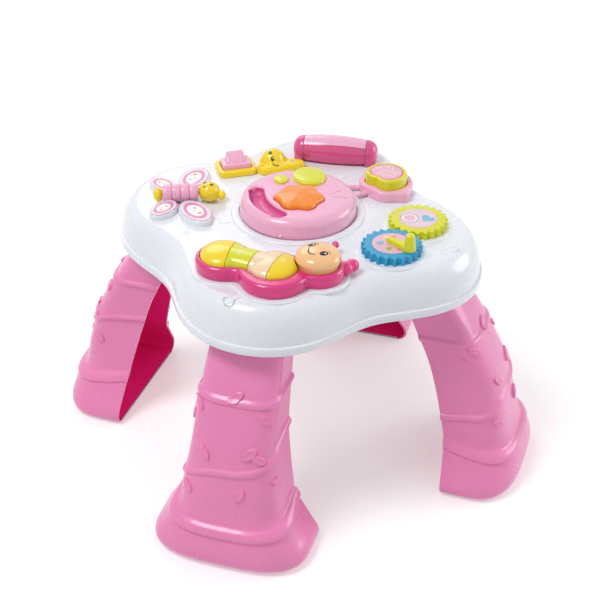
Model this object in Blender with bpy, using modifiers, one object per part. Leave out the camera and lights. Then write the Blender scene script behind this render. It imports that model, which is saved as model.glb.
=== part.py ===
"""A toddler's activity table: a four-lobed white top full of toys, standing on four pink legs.

Metres, +Z up. The origin is on the floor under the middle of the table, and -Y is the front side.
Toys have a place on the deck as shares of the rim's radius, and their own sizes from there on.
"""
import math

import bmesh
import bpy
from mathutils import Matrix, Vector

# Clearances and the overrun of cuts
GAP = 0.0003
SLIP = 0.0006
RUNNING_FIT = 0.0001
OVERRUN = 0.002
MERGE = 0.000002

# Top shell
RIM_RADIUS = 0.200
RIM_LOBE_SHARE = 0.119
RIM_FLAT_SHARE = 0.010
RIM_X_SHARE = 0.952
RIM_Z = 0.2412
LIP_HEIGHT = 0.0098
LIP_PROUD = 0.003
SKIRT_INSET = 0.0244
SKIRT_RISE = 0.0393
SHELL_WALL = 0.0025
LIP_STEP = 0.00225
DECK_Z = RIM_Z + LIP_HEIGHT + LIP_STEP + SKIRT_RISE
SKIRT_ANGLE_SHARES = (0.0, 0.3, 0.62, 1.0)
RIM_SIDES = 40

# Raised marks on the deck
BORDER_HEIGHT = 0.002
BORDER_WIDTH = 0.0055
WING_HEIGHT = 0.007

# Lid, its well and its hinge
LID_PLACE_SHARE = (0.01, 0.01)
LID_TURN = math.radians(10)
LID_RADIUS = 0.0665
LID_LIFT = 0.0015
LID_SHOULDER = 0.020
LID_TOP = 0.0235
LID_WALL = 0.0025
LID_FLAT_SHARE = 0.81
LID_SHOULDER_SHARE = 0.9
LID_SWELL_SHARE = 0.99
RING_GAP = 0.001
RING_WIDTH = 0.0095
RING_HEIGHT = 0.0025
LID_OVERLAP = 0.0035
WELL_RADIUS = LID_RADIUS - LID_OVERLAP
WELL_DEPTH = 0.018
HINGE_INSET = 0.008
HINGE_X = LID_RADIUS - HINGE_INSET
HINGE_Z = 0.008
HINGE_PIN_RADIUS = 0.0015
HINGE_EYE_RADIUS = 0.003
HINGE_LEAF = 0.004
HINGE_SPREAD = 0.005
HINGE_ARM_LENGTH = 0.0145
HINGE_POST_X = HINGE_X - HINGE_ARM_LENGTH
HINGE_POST_THICK = 0.005
NOTCH_CLEARANCE = 0.0005
NOTCH_X = LID_RADIUS + NOTCH_CLEARANCE
NOTCH_HALF = 0.031
NOTCH_DEPTH = 0.0035

# Lid's thumb recess, flower button and leaves
RECESS_LENGTH = 0.076
RECESS_HALF = 0.0088
RECESS_BEND_SHARE = 0.18
RECESS_DEPTH = 0.0105
RECESS_CLEARANCE = 0.0013
RECESS_WAY = math.radians(151.8)
RECESS_TURN = math.radians(78.6)
FLOWER_RADIUS = 0.0262
FLOWER_LOBES = 6
FLOWER_LOBE_SHARE = 0.075
FLOWER_PLACE_SHARE = (-0.09, -0.15)
FLOWER_TOP = 0.031
FLOWER_FLOOR = 0.007
FLOWER_TRAVEL = 0.003
FLOWER_BOTTOM = FLOWER_FLOOR + FLOWER_TRAVEL + SLIP
LEAF_CLEARANCE = 0.0033
LEAF_WAY = math.radians(40)
LEAF_HALF = (0.0190, 0.0215)
LEAF_TURN = math.radians(-20)
LEAF_HEIGHT = 0.0055
LEAF_DOME_SHARES = ((0.0, 1.0), (0.45, 0.96), (0.75, 0.82), (0.93, 0.65), (1.0, 0.5), (1.0, 0.0), (0.0, 0.0))
SMALL_LEAF_PLACE_SHARE = (0.05, 0.56)
SMALL_LEAF_HALF = (0.0085, 0.0105)
SMALL_LEAF_HEIGHT = 0.004
MIRROR_RADIUS = 0.040
MIRROR_THICK = 0.0015

# Legs, in a frame with u along the leg's own radius and v across it
LEG_TURNS = {"front": math.radians(225.7), "left": math.radians(134.3),
             "rear": math.radians(45.7), "right": math.radians(314.3)}
LEG_TOP = 0.270
LEG_WALL = 0.003
LEG_SPLAY = 0.088
LEG_REACH = RIM_RADIUS + LEG_SPLAY
LEG_OUTER_SHARES = ((0.0, 0.969), (0.007, 0.979), (0.03, 0.997), (0.067, 1.0), (0.111, 0.990),
                         (0.167, 0.969), (0.222, 0.944), (0.341, 0.917), (0.467, 0.885), (0.537, 0.858),
                         (0.648, 0.802), (0.770, 0.733), (0.893, 0.653), (1.0, 0.575))
LEG_INNER_SHARES = ((0.0, 0.712), (0.111, 0.705), (0.230, 0.691), (0.352, 0.663), (0.470, 0.632),
                    (0.593, 0.594), (0.756, 0.524), (0.893, 0.472), (1.0, 0.432))
LEG_HALF = 0.089
LEG_HALF_SHARES = ((0.0, 0.90), (0.007, 0.944), (0.03, 1.0), (0.067, 0.989), (0.111, 0.90), (0.167, 0.787),
                   (0.222, 0.674), (0.278, 0.640), (0.352, 0.596), (0.496, 0.528), (0.689, 0.494),
                   (0.893, 0.449), (1.0, 0.421))
LEG_FRONT_ROUND_SHARES = ((0.0, 0.70), (0.167, 0.70), (0.35, 0.45), (1.0, 0.42))
LEG_FRONT_POWER = 3.0
LEG_FRONT_POINTS = 6
RIDGE_PROUD = 0.003
RIDGE_HALF = 0.0045
RIDGE_UPPER_Z = 0.184
RIDGE_LOWER_Z = 0.113
RIDGE_LOWER_TILT = 0.025
BAND_PROUD = 0.0045
BAND_HALF = 0.0065
BAND_Z = 0.058
BAND_DIP = 0.012
LEG_FOOT_LEVEL_SHARES = (0.0, 0.007, 0.03, 0.067)
LEG_MIDDLE_LEVEL_SHARE = 0.58
LEG_TOP_LEVEL_SHARES = (0.79, 1.0)
LEG_SCREW_SHARE = 0.514
LEG_GROW = 0.002

# Screws and their bosses
BOSS_RADIUS = 0.0042
SCREW_RADIUS = 0.0019
SCREW_PLAY = 0.0006
SCREW_HEAD_RADIUS = 0.0034
SCREW_HEAD = 0.002
SCREW_LENGTH = 0.010
SCREW_SIDES = 6

# Base cover and what it carries
COVER_LIFT = 0.0023
COVER_THICK = 0.003
COVER_SCREW_SHARES = ((0.675, 0.0), (-0.675, 0.0), (0.0, 0.75), (0.0, -0.75))
CELL_RADIUS = 0.0071
CELL_LENGTH = 0.0498
CELL_COUNT = 3
CELL_PITCH = 0.0147
BAY_WALL = 0.002
BAY_MARGIN = 0.0004
DOOR_THICK = 0.002
BOARD_SIZE = (0.070, 0.044, 0.0016)
BOARD_PLACE_SHARE = (-0.05, -0.475)
SPEAKER_RADIUS = 0.025
SPEAKER_HEIGHT = 0.012
SPEAKER_PLACE_SHARE = (0.0, 0.475)
SLOT_SIZE = (0.030, 0.003)
SLOT_PITCH = 0.007
SLOT_COUNT = 5
SWITCH_KNOB = (0.005, 0.004)
SWITCH_TRAVEL = 0.006
SWITCH_PLACE_SHARE = (0.33, 0.05)

# Worm: its middle lobe is at its place, the others a step away along the spine
WORM_PLACE_SHARE = (-0.445, -0.610)
TAIL_LOBE = 0.031
MIDDLE_LOBE = 0.037
HEAD_LOBE = 0.028
BODY_PITCH = 0.061
HEAD_PITCH = 0.0474
TAIL_TURN = math.radians(125)
HEAD_TURN = math.radians(-14)
BODY_NECK = 0.0215
BODY_HEIGHT = 0.0175
LOBE_ROUND = 0.0026
TAIL_MARGIN = 0.0055
MIDDLE_MARGIN = 0.0105
KEY_OFFSET_SHARE = (0.05, 0.13)
KEY_NECK = 0.0175
KEY_TOP = 0.0275
KEY_BOTTOM = 0.0090
KEY_TRAVEL = 0.003
KEY_CUT_SHARES = (0.866, 0.395, -0.013)
KEY_CUT_TURNS = (math.radians(48), math.radians(34), math.radians(38))
HEAD_KEY_SKIRT = 0.0228
HEAD_KEY_RADIUS = 0.0245
HEAD_KEY_TOP = 0.036
FEELER_RADIUS = 0.0042
FEELER_SHARE = (1.43, 1.30)
FEELER_ROOT_SHARE = (0.72, 0.62)
FEELER_HEIGHT = 0.010
FEELER_STEM = 0.0026
BOW_RADII = (0.0090, 0.0078)
BOW_SHARES = ((1.14, -0.41), (1.54, -0.34))
BOW_HEIGHT = 0.014
DOME_RADIUS = 0.0045
KEY_BOARD_THICK = 0.0014
KEY_BOARD_MARGIN = 0.0004

# Butterfly, with its roller along its own X axis
BUTTERFLY_PLACE_SHARE = (-0.538, 0.428)
BUTTERFLY_TURN = math.radians(-22)
ROLLER_RADIUS = 0.0104
ROLLER_GROOVE = 0.0014
ROLLER_LENGTH = 0.0400
ROLLER_RIBS = 4
ROLLER_Z = 0.0112
AXLE_RADIUS = 0.002
INSECT_HEAD = (0.0125, 0.0130, 0.0115)
INSECT_HEAD_X = 0.0330
INSECT_TAIL = (0.0080, 0.0085, 0.0112)
INSECT_TAIL_X = -0.0260
HORN = (0.0045, 0.0070, 0.0055)
HORN_X = 0.0475
HORN_Y = -0.0040
HORN_Z = 0.0080
WING_LARGE = (0.0270, 0.0160)
WING_LARGE_AT = (0.0160, 0.0430)
WING_LARGE_TURN = math.radians(65)
WING_SMALL = (0.0200, 0.0125)
WING_SMALL_AT = (-0.0200, 0.0310)
WING_SMALL_TURN = math.radians(128)

# Push block in its tray
TRAY_PLACE_SHARE = (-0.095, 0.632)
TRAY_TURN = math.radians(-12)
TRAY_SIZE = (0.046, 0.036)
TRAY_HEIGHT = 0.008
TRAY_CORNER = 0.007
TRAY_FLOOR = 0.002
BLOCK_SIZE = (0.034, 0.022)
BLOCK_STEP = 0.0135
BLOCK_TOP = 0.024
BLOCK_TRAVEL = 0.003
BLOCK_BOTTOM = TRAY_FLOOR + BLOCK_TRAVEL + SLIP
HUMP_SIZE = (0.0250, 0.0150)
HUMP_TOP_SIZE = (0.0200, 0.0060)
HUMP_BACK = 0.0035

# Giraffe ornament lying beside the tray
GIRAFFE_PLACE_SHARE = (0.150, 0.535)
GIRAFFE_LENGTH = 0.058
GIRAFFE_HEIGHT = 0.009
GIRAFFE_OUTLINE_SHARES = ((-0.45, 0.10), (-0.45, -0.13), (-0.20, -0.21), (0.10, -0.22), (0.38, -0.24),
                          (0.50, -0.18), (0.47, -0.05), (0.30, 0.10), (0.18, 0.30), (-0.02, 0.38),
                          (-0.22, 0.32))
GIRAFFE_HEAD = (0.0165, 0.0150, 0.0190)
GIRAFFE_HEAD_SHARE = (-0.08, 0.14)
GIRAFFE_MUZZLE = (0.0130, 0.0090, 0.0130)
GIRAFFE_MUZZLE_SHARE = (-0.16, -0.06)
GIRAFFE_EAR_SHARES = ((-0.14, 0.34), (-0.42, 0.02))
GIRAFFE_EAR = (0.0055, 0.0050, 0.0120)

# Bead barrel along its own X axis, sunk into a trough in the deck
BARREL_PLACE_SHARE = (0.505, 0.485)
BARREL_TURN = math.radians(-37)
BARREL_Z = 0.013
BARREL_RADIUS = 0.018
BARREL_END_RADIUS = 0.0155
BARREL_HALF = 0.0515
CAP_LENGTH = 0.014
DRUM_HALF = BARREL_HALF - CAP_LENGTH
DRUM_WALL = 0.002
DRUM_SIDES = 20
DRUM_PIN_RADIUS = 0.003
DRUM_PIN_LENGTH = 0.005
CAP_NOSE_RADIUS = 0.0065
WINDOW_MARGIN = 0.005
WINDOW_HALF = DRUM_HALF - WINDOW_MARGIN
WINDOW_TILT = math.radians(-23)
WINDOW_CUT = 0.003
TROUGH_SLIP = 0.0012
TROUGH_WALL = 0.0025
BEAD_RADIUS = 0.004
BEAD_COUNT = 3
BEAD_RISE_SHARES = (-1.0, -0.75, -0.9)
BEAD_FINISHES = ("yellow_plastic", "orange_plastic", "turquoise_plastic")

# Apple with a push button
APPLE_PLACE_SHARE = (0.585, 0.010)
APPLE_DENT_TURN = math.radians(198)
APPLE_RADIUS = 0.0315
APPLE_DENT_SHARE = 0.14
APPLE_HEIGHT = 0.0125
APPLE_TIP_SHARE = 0.22
APPLE_TIP_TURN = math.radians(-80)
APPLE_BUTTON_RADIUS = 0.0245
APPLE_BUTTON_TOP = 0.024
APPLE_FLOOR = 0.003
APPLE_TRAVEL = 0.003
APPLE_BUTTON_BOTTOM = APPLE_FLOOR + APPLE_TRAVEL + SLIP
APPLE_INSERT_SHARE = 0.70
APPLE_INSERT_THICK = 0.0007
PRONG_RADIUS = 0.0032
PRONG_REACH_SHARES = (1.42, 1.20)
PRONG_TURNS = (math.radians(154), math.radians(184))

# Gears and the crank handle
GEAR_PLACE_SHARE = (0.26, -0.62)
GEAR_TEETH = 22
GEAR_RADIUS = 0.0315
TOOTH_HALF = 0.0021
GEAR_PLAY = 0.0009
GEAR_LINE_TURN = math.radians(32.7)
GEAR_TOP = 0.0115
GEAR_POINTS_PER_TOOTH = 4
POST_RADIUS = 0.004
CAP_RADIUS = 0.0075
CAP_THICK = 0.0015
HANDLE_TURN = math.radians(-66)
HANDLE_LENGTH = 0.0235
HANDLE_TAIL_LENGTH = 0.006
HANDLE_PLATE = 0.0055
KNOB_RADIUS = 0.0068
KNOB_TOP_RADIUS = 0.0052
KNOB_TOP = 0.0315

# Colours and finishes: base colour, roughness, see-through share
FINISHES = {
    "white_plastic": ((0.86, 0.89, 0.93), 0.35, 0.0),
    "pink_plastic": ((0.87, 0.47, 0.65), 0.38, 0.0),
    "magenta_plastic": ((0.76, 0.02, 0.19), 0.35, 0.0),
    "lime_plastic": ((0.62, 0.68, 0.02), 0.32, 0.0),
    "yellow_plastic": ((0.95, 0.62, 0.02), 0.32, 0.0),
    "orange_plastic": ((0.91, 0.30, 0.01), 0.32, 0.0),
    "peach_plastic": ((0.93, 0.60, 0.38), 0.34, 0.0),
    "turquoise_plastic": ((0.02, 0.38, 0.58), 0.32, 0.0),
    "window_plastic": ((0.72, 0.08, 0.24), 0.12, 0.7),
    "glitter_insert": ((0.85, 0.50, 0.60), 0.30, 0.0),
    "mirror": ((0.90, 0.90, 0.92), 0.05, 0.0),
    "steel": ((0.60, 0.60, 0.62), 0.30, 0.0),
    "green_board": ((0.02, 0.20, 0.08), 0.50, 0.0),
    "black_part": ((0.03, 0.03, 0.035), 0.50, 0.0),
    "silicone": ((0.75, 0.75, 0.76), 0.60, 0.0),
}
METALS = ("mirror", "steel")

TABLE = bpy.data.collections.new("activity_table")
CUTTERS = bpy.data.collections.new("cutters")
MATERIALS = {}


# Small tools

def clear_scene():
    for old in list(bpy.data.objects):
        bpy.data.objects.remove(old, do_unlink=True)
    for collection in (TABLE, CUTTERS):
        bpy.context.scene.collection.children.link(collection)


def material(name):
    """A Principled material in the part's own colour."""
    if name not in MATERIALS:
        colour, roughness, clear = FINISHES[name]
        made = bpy.data.materials.new(name)
        made.use_nodes = True
        shader = made.node_tree.nodes["Principled BSDF"]
        shader.inputs["Base Color"].default_value = (*colour, 1.0)
        shader.inputs["Roughness"].default_value = roughness
        shader.inputs["Metallic"].default_value = float(name in METALS)
        shader.inputs["Transmission Weight"].default_value = clear
        MATERIALS[name] = made
    return MATERIALS[name]


def place(share):
    """A place on the deck, from shares of the rim's radius."""
    return Vector((share[0] * RIM_RADIUS, share[1] * RIM_RADIUS, 0.0))


def polar(radius, angle):
    return Vector((radius * math.cos(angle), radius * math.sin(angle), 0.0))


def turned_by(point, angle):
    return Matrix.Rotation(angle, 3, "Z") @ Vector((point[0], point[1], 0.0))


def frame_at(origin, z=0.0, turn=0.0):
    """The placing of a toy whose own frame has its zero height at z."""
    return Matrix.Translation((origin[0], origin[1], z)) @ Matrix.Rotation(turn, 4, "Z")


def from_bmesh(bm, name, smooth=True):
    mesh = bpy.data.meshes.new(name)
    bm.to_mesh(mesh)
    bm.free()
    return from_mesh(mesh, name, smooth)


def from_mesh(mesh, name, smooth=True):
    if smooth:
        mesh.shade_smooth()
        mesh.set_sharp_from_angle(angle=math.radians(35))
    made = bpy.data.objects.new(name, mesh)
    bpy.context.scene.collection.objects.link(made)
    return made


def baked(obj):
    """A mesh object holding what the given object evaluates to, which is removed."""
    bpy.context.view_layer.update()
    shape = obj.evaluated_get(bpy.context.evaluated_depsgraph_get())
    mesh = bpy.data.meshes.new_from_object(shape)
    name = obj.name
    where = obj.matrix_world.copy()
    bpy.data.objects.remove(obj, do_unlink=True)
    bm = bmesh.new()
    bm.from_mesh(mesh)
    bmesh.ops.remove_doubles(bm, verts=bm.verts, dist=MERGE)
    bm.to_mesh(mesh)
    bm.free()
    made = from_mesh(mesh, name)
    made.matrix_world = where
    return made


def prism(name, outline, bottom, top):
    """A flat outline with thickness, as a filled 2D curve turned into a mesh."""
    curve = bpy.data.curves.new(name, "CURVE")
    curve.dimensions = "2D"
    curve.fill_mode = "BOTH"
    curve.extrude = (top - bottom) / 2
    line = curve.splines.new("POLY")
    line.points.add(len(outline) - 1)
    for point, (x, y) in zip(line.points, [(p[0], p[1]) for p in outline]):
        point.co = (x, y, 0.0, 1.0)
    line.use_cyclic_u = True
    drawn = bpy.data.objects.new(name, curve)
    bpy.context.scene.collection.objects.link(drawn)
    drawn.location.z = (top + bottom) / 2
    made = baked(drawn)
    settle(made)
    return made


def settle(obj):
    """Applies an object's placing to its mesh."""
    bpy.context.view_layer.update()
    obj.data.transform(obj.matrix_world)
    obj.matrix_world = Matrix.Identity(4)


def turned(name, profile, sides=32):
    """A body of revolution about Z from (radius, z) pairs that run down its outer side."""
    bm = bmesh.new()
    points = [bm.verts.new((radius, 0.0, z)) for radius, z in profile]
    for first, second in zip(points, points[1:]):
        bm.edges.new((first, second))
    line = from_bmesh(bm, name, smooth=False)
    screw = line.modifiers.new("turn", "SCREW")
    screw.steps = sides
    screw.render_steps = sides
    screw.use_merge_vertices = True
    screw.merge_threshold = MERGE
    return baked(line)


def drum(name, radius, bottom, top, sides=32):
    """A plain round column about Z."""
    bpy.ops.mesh.primitive_cylinder_add(vertices=sides, radius=radius, depth=top - bottom,
                                        location=(0.0, 0.0, (top + bottom) / 2))
    made = bpy.context.active_object
    made.name = name
    settle(made)
    made.data.shade_smooth()
    made.data.set_sharp_from_angle(angle=math.radians(35))
    return made


def block(name, size, bottom, top, at=(0.0, 0.0), top_size=None, shift=0.0):
    """A box from bottom to top, which may taper to another size and lean along Y."""
    bm = bmesh.new()
    bmesh.ops.create_cube(bm, size=1.0)
    end = top_size or size
    for vert in bm.verts:
        upper = vert.co.z > 0
        across = end if upper else size
        vert.co = (at[0] + vert.co.x * across[0], at[1] + vert.co.y * across[1] + shift * upper,
                   top if upper else bottom)
    return from_bmesh(bm, name, smooth=False)


def ball(name, radii, at, segments=20, rings=12):
    """An ellipsoid."""
    bm = bmesh.new()
    bmesh.ops.create_uvsphere(bm, u_segments=segments, v_segments=rings, radius=1.0)
    for vert in bm.verts:
        vert.co = [co * radius + mid for co, radius, mid in zip(vert.co, radii, at)]
    return from_bmesh(bm, name)


def rod(name, start, end, radius, sides=16):
    """A round bar between two points."""
    axis = Vector(end) - Vector(start)
    made = drum(name, radius, 0.0, axis.length, sides)
    made.matrix_world = Matrix.Translation(start) @ axis.to_track_quat("Z", "Y").to_matrix().to_4x4()
    settle(made)
    return made


def moved(obj, placing):
    """Applies a placing to a mesh, for a shape that is joined or cut into another."""
    obj.data.transform(placing)
    return obj


def combine(obj, tool, operation):
    tool.hide_render = True
    tool.display_type = "WIRE"
    if tool.name not in CUTTERS.objects:
        for owner in list(tool.users_collection):
            owner.objects.unlink(tool)
        CUTTERS.objects.link(tool)
    step = obj.modifiers.new(operation.lower(), "BOOLEAN")
    step.operation = operation
    step.object = tool
    step.solver = "EXACT"
    return obj


def join(obj, *tools):
    for tool in tools:
        combine(obj, tool, "UNION")
    return obj


def cut(obj, *tools):
    for tool in tools:
        combine(obj, tool, "DIFFERENCE")
    return obj


def keep(obj, tool):
    return combine(obj, tool, "INTERSECT")


def part(obj, name, finish, placing=None, parent=None):
    """Applies a piece's cuts, then gives it its name, material, place and collection."""
    if obj.modifiers:
        obj = baked(obj)
    obj.name = name
    obj.data.name = name
    obj.data.materials.clear()
    obj.data.materials.append(material(finish))
    for owner in list(obj.users_collection):
        owner.objects.unlink(obj)
    TABLE.objects.link(obj)
    if placing is not None:
        obj.matrix_world = placing
    if parent is not None:
        bpy.context.view_layer.update()
        obj.parent = parent
        obj.matrix_parent_inverse = parent.matrix_world.inverted()
    return obj


def pivot(name, placing):
    """An empty on a joint's axis, which carries the pieces that move on it."""
    made = bpy.data.objects.new(name, None)
    TABLE.objects.link(made)
    made.matrix_world = placing
    bpy.context.view_layer.update()
    return made


def between(table, share):
    """Reads a table of (share, value) pairs at a share, along straight lines."""
    if share <= table[0][0]:
        return table[0][1]
    for (low, start), (high, end) in zip(table, table[1:]):
        if share <= high:
            return start + (end - start) * (share - low) / (high - low)
    return table[-1][1]


def round_top(obj, width, segments=2):
    """Rounds the edge round a prism's top."""
    bm = bmesh.new()
    bm.from_mesh(obj.data)
    top = max(vert.co.z for vert in bm.verts)
    rim = [edge for edge in bm.edges if all(abs(vert.co.z - top) < MERGE for vert in edge.verts)
           and edge.calc_face_angle(0.0) > math.radians(60)]
    bmesh.ops.bevel(bm, geom=rim, offset=width, offset_type="OFFSET", segments=segments, profile=0.5,
                    affect="EDGES", clamp_overlap=True)
    bmesh.ops.remove_doubles(bm, verts=bm.verts, dist=MERGE)
    bm.to_mesh(obj.data)
    bm.free()
    obj.data.shade_smooth()
    obj.data.set_sharp_from_angle(angle=math.radians(35))
    return obj


# Outlines

def oval(radii, turn=0.0, at=(0.0, 0.0), sides=16):
    points = [(radii[0] * math.cos(math.tau * i / sides), radii[1] * math.sin(math.tau * i / sides))
              for i in range(sides)]
    return [turned_by(p, turn) + Vector((at[0], at[1], 0.0)) for p in points]


def rounded_box(size, corner, steps=4):
    points = []
    for quarter in range(4):
        sx = 1 if quarter in (0, 3) else -1
        sy = 1 if quarter in (0, 1) else -1
        middle = Vector((sx * (size[0] / 2 - corner), sy * (size[1] / 2 - corner), 0.0))
        for i in range(steps + 1):
            points.append(middle + polar(corner, math.pi / 2 * (quarter + i / steps)))
    return points


def lobed(radius, lobes, share, turn=0.0, sides=72):
    turns = [math.tau * i / sides for i in range(sides)]
    return [polar(radius * (1 + share * math.cos(lobes * (t - turn))), t) for t in turns]


def smooth_loop(points, steps=4):
    """A closed curve through the points, as a Catmull-Rom spline."""
    loop = [Vector((p[0], p[1], 0.0)) for p in points]
    curve = []
    for i in range(len(loop)):
        a, b, c, d = (loop[(i + k) % len(loop)] for k in (-1, 0, 1, 2))
        for step in range(steps):
            t = step / steps
            curve.append((2 * b + (c - a) * t + (2 * a - 5 * b + 4 * c - d) * t ** 2
                          + (3 * b - a - 3 * c + d) * t ** 3) / 2)
    return curve


def together(name, pieces):
    """Several separate shapes as one object."""
    bm = bmesh.new()
    for piece in pieces:
        settle(piece)
        bm.from_mesh(piece.data)
        bpy.data.objects.remove(piece, do_unlink=True)
    return from_bmesh(bm, name)


# Top shell

def rim_point(angle, inset, z=0.0):
    swing = 4 * (angle - math.pi / 4)
    wave = RIM_LOBE_SHARE * math.cos(swing) - RIM_FLAT_SHARE * math.cos(2 * swing)
    radius = RIM_RADIUS * (1 + wave) - inset
    return Vector((RIM_X_SHARE * radius * math.cos(angle), radius * math.sin(angle), z))


def shell_levels():
    """Insets and heights of the shell's rings, from its rim to the edge of the deck."""
    levels = [(0.0, RIM_Z), (0.0, RIM_Z + LIP_HEIGHT)]
    for share in SKIRT_ANGLE_SHARES:
        angle = share * math.pi / 2
        levels.append((LIP_PROUD + SKIRT_INSET * (1 - math.cos(angle)),
                       RIM_Z + LIP_HEIGHT + LIP_STEP + SKIRT_RISE * math.sin(angle)))
    return levels


def bare_shell():
    bm = bmesh.new()
    rings = [[bm.verts.new(rim_point(math.tau * i / RIM_SIDES, inset, z)) for i in range(RIM_SIDES)]
             for inset, z in shell_levels()]
    for lower, upper in zip(rings, rings[1:]):
        for i in range(RIM_SIDES):
            k = (i + 1) % RIM_SIDES
            bm.faces.new((lower[i], lower[k], upper[k], upper[i]))
    bm.faces.new(rings[-1])
    shell = from_bmesh(bm, "bare_shell")
    wall = shell.modifiers.new("wall", "SOLIDIFY")
    wall.thickness = SHELL_WALL
    wall.offset = -1.0
    wall.use_even_offset = True
    return baked(shell)


def lid_frame():
    return frame_at(place(LID_PLACE_SHARE), DECK_Z, LID_TURN)


def butterfly_frame():
    return frame_at(place(BUTTERFLY_PLACE_SHARE), DECK_Z, BUTTERFLY_TURN)


def barrel_frame():
    return frame_at(place(BARREL_PLACE_SHARE), DECK_Z, BARREL_TURN)


def gear_places():
    first = place(GEAR_PLACE_SHARE)
    return first, first + polar(2 * GEAR_RADIUS + GEAR_PLAY, GEAR_LINE_TURN)


def worm_places():
    """Middles of the tail, middle and head lobes."""
    middle = place(WORM_PLACE_SHARE)
    return middle + polar(BODY_PITCH, TAIL_TURN), middle, middle + polar(HEAD_PITCH, HEAD_TURN)


def wing_ovals():
    """The butterfly's four wings, in its own frame."""
    wings = ((WING_LARGE, WING_LARGE_AT, WING_LARGE_TURN), (WING_SMALL, WING_SMALL_AT, WING_SMALL_TURN))
    return [oval(radii, side * turn, (at[0], side * at[1])) for radii, at, turn in wings for side in (1, -1)]


def spine_neck(name, ends, half, bottom, top):
    """A straight stretch between the middles of two lobes."""
    way = ends[1] - ends[0]
    neck = block(name, (way.length, 2 * half), bottom, top)
    return moved(neck, frame_at((ends[0] + ends[1]) / 2, 0.0, math.atan2(way.y, way.x)))


def at_place(obj, where, z=0.0, turn=0.0):
    return moved(obj, frame_at(where, z, turn))


def deck_pads():
    """Raised borders and wing plates that grow out of the deck."""
    low = DECK_Z - SHELL_WALL / 2
    high = DECK_Z + BORDER_HEIGHT
    pads = [at_place(drum("border", radius + BORDER_WIDTH, low, high, 20), where)
            for radius, where in zip((TAIL_LOBE, MIDDLE_LOBE, HEAD_LOBE), worm_places())]
    pads.append(spine_neck("border_neck", worm_places()[:2], BODY_NECK + BORDER_WIDTH, low, high))
    for where in gear_places():
        pads.append(at_place(drum("border", GEAR_RADIUS + TOOTH_HALF + BORDER_WIDTH, low, high, 20), where))
    for outline in wing_ovals():
        plate = prism("wing_plate", outline, -SHELL_WALL / 2, WING_HEIGHT)
        pads.append(moved(plate, butterfly_frame()))
    inner = LID_RADIUS + RING_GAP
    outer = inner + RING_WIDTH
    ring = turned("lid_ring", [(outer, 0.0), (outer, -SHELL_WALL / 2), (inner, -SHELL_WALL / 2),
                               (inner, RING_HEIGHT), (outer - RING_HEIGHT, RING_HEIGHT), (outer, 0.0)], 28)
    pads.append(moved(ring, lid_frame()))
    return pads


def leg_frame(name):
    return Matrix.Rotation(LEG_TURNS[name], 4, "Z")


def leg_screw_places():
    return [polar(LEG_SCREW_SHARE * LEG_REACH, turn) for turn in LEG_TURNS.values()]


def cover_screw_places():
    return [place(share) for share in COVER_SCREW_SHARES]


def cover_top():
    return RIM_Z + COVER_LIFT + COVER_THICK


def bosses(radius, sides, leg_bottom, leg_top, cover_bottom, cover_end):
    """Upright columns at the screws of the legs and of the base cover."""
    columns = [at_place(drum("boss", radius, leg_bottom, leg_top, sides), where)
               for where in leg_screw_places()]
    columns += [at_place(drum("boss", radius, cover_bottom, cover_end, sides), where)
                for where in cover_screw_places()]
    return together("bosses", columns)


def hinge_arm(name, y):
    """A post in the well that reaches over to the lid's hinge pin."""
    low = HINGE_Z - HINGE_EYE_RADIUS
    outline = [(HINGE_POST_X, -WELL_DEPTH - SHELL_WALL / 2),
               (HINGE_POST_X + HINGE_POST_THICK, -WELL_DEPTH - SHELL_WALL / 2),
               (HINGE_POST_X + HINGE_POST_THICK, low)]
    outline += [Vector((HINGE_X, HINGE_Z, 0.0)) + polar(HINGE_EYE_RADIUS, math.pi * (i / 6 - 0.5))
                for i in range(7)]
    outline.append((HINGE_POST_X, HINGE_Z + HINGE_EYE_RADIUS))
    arm = prism(name, outline, 0.0, HINGE_LEAF)
    return moved(arm, Matrix.Translation((0.0, y + HINGE_LEAF, 0.0)) @ Matrix.Rotation(math.pi / 2, 4, "X"))


def hinge_bore(name, radius, half):
    return rod(name, (HINGE_X, -half, HINGE_Z), (HINGE_X, half, HINGE_Z), radius)


def barrel_radius(x):
    return BARREL_RADIUS - (BARREL_RADIUS - BARREL_END_RADIUS) * (x / DRUM_HALF) ** 2


def barrel_profile(half, grow, steps=4):
    """The barrel's outer side, from one end to the other, as (radius, place along its axis)."""
    return [(barrel_radius(x) + grow, x) for x in (half * (1 - 2 * i / steps) for i in range(steps + 1))]


def laid(obj):
    """Lays a body turned about Z along the barrel's own axis."""
    return moved(obj, Matrix.Translation((0.0, 0.0, BARREL_Z)) @ Matrix.Rotation(math.pi / 2, 4, "Y"))


def barrel_blank(name, half, grow, sides=20):
    return laid(turned(name, [(0.0, half)] + barrel_profile(half, grow) + [(0.0, -half)], sides))


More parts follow.
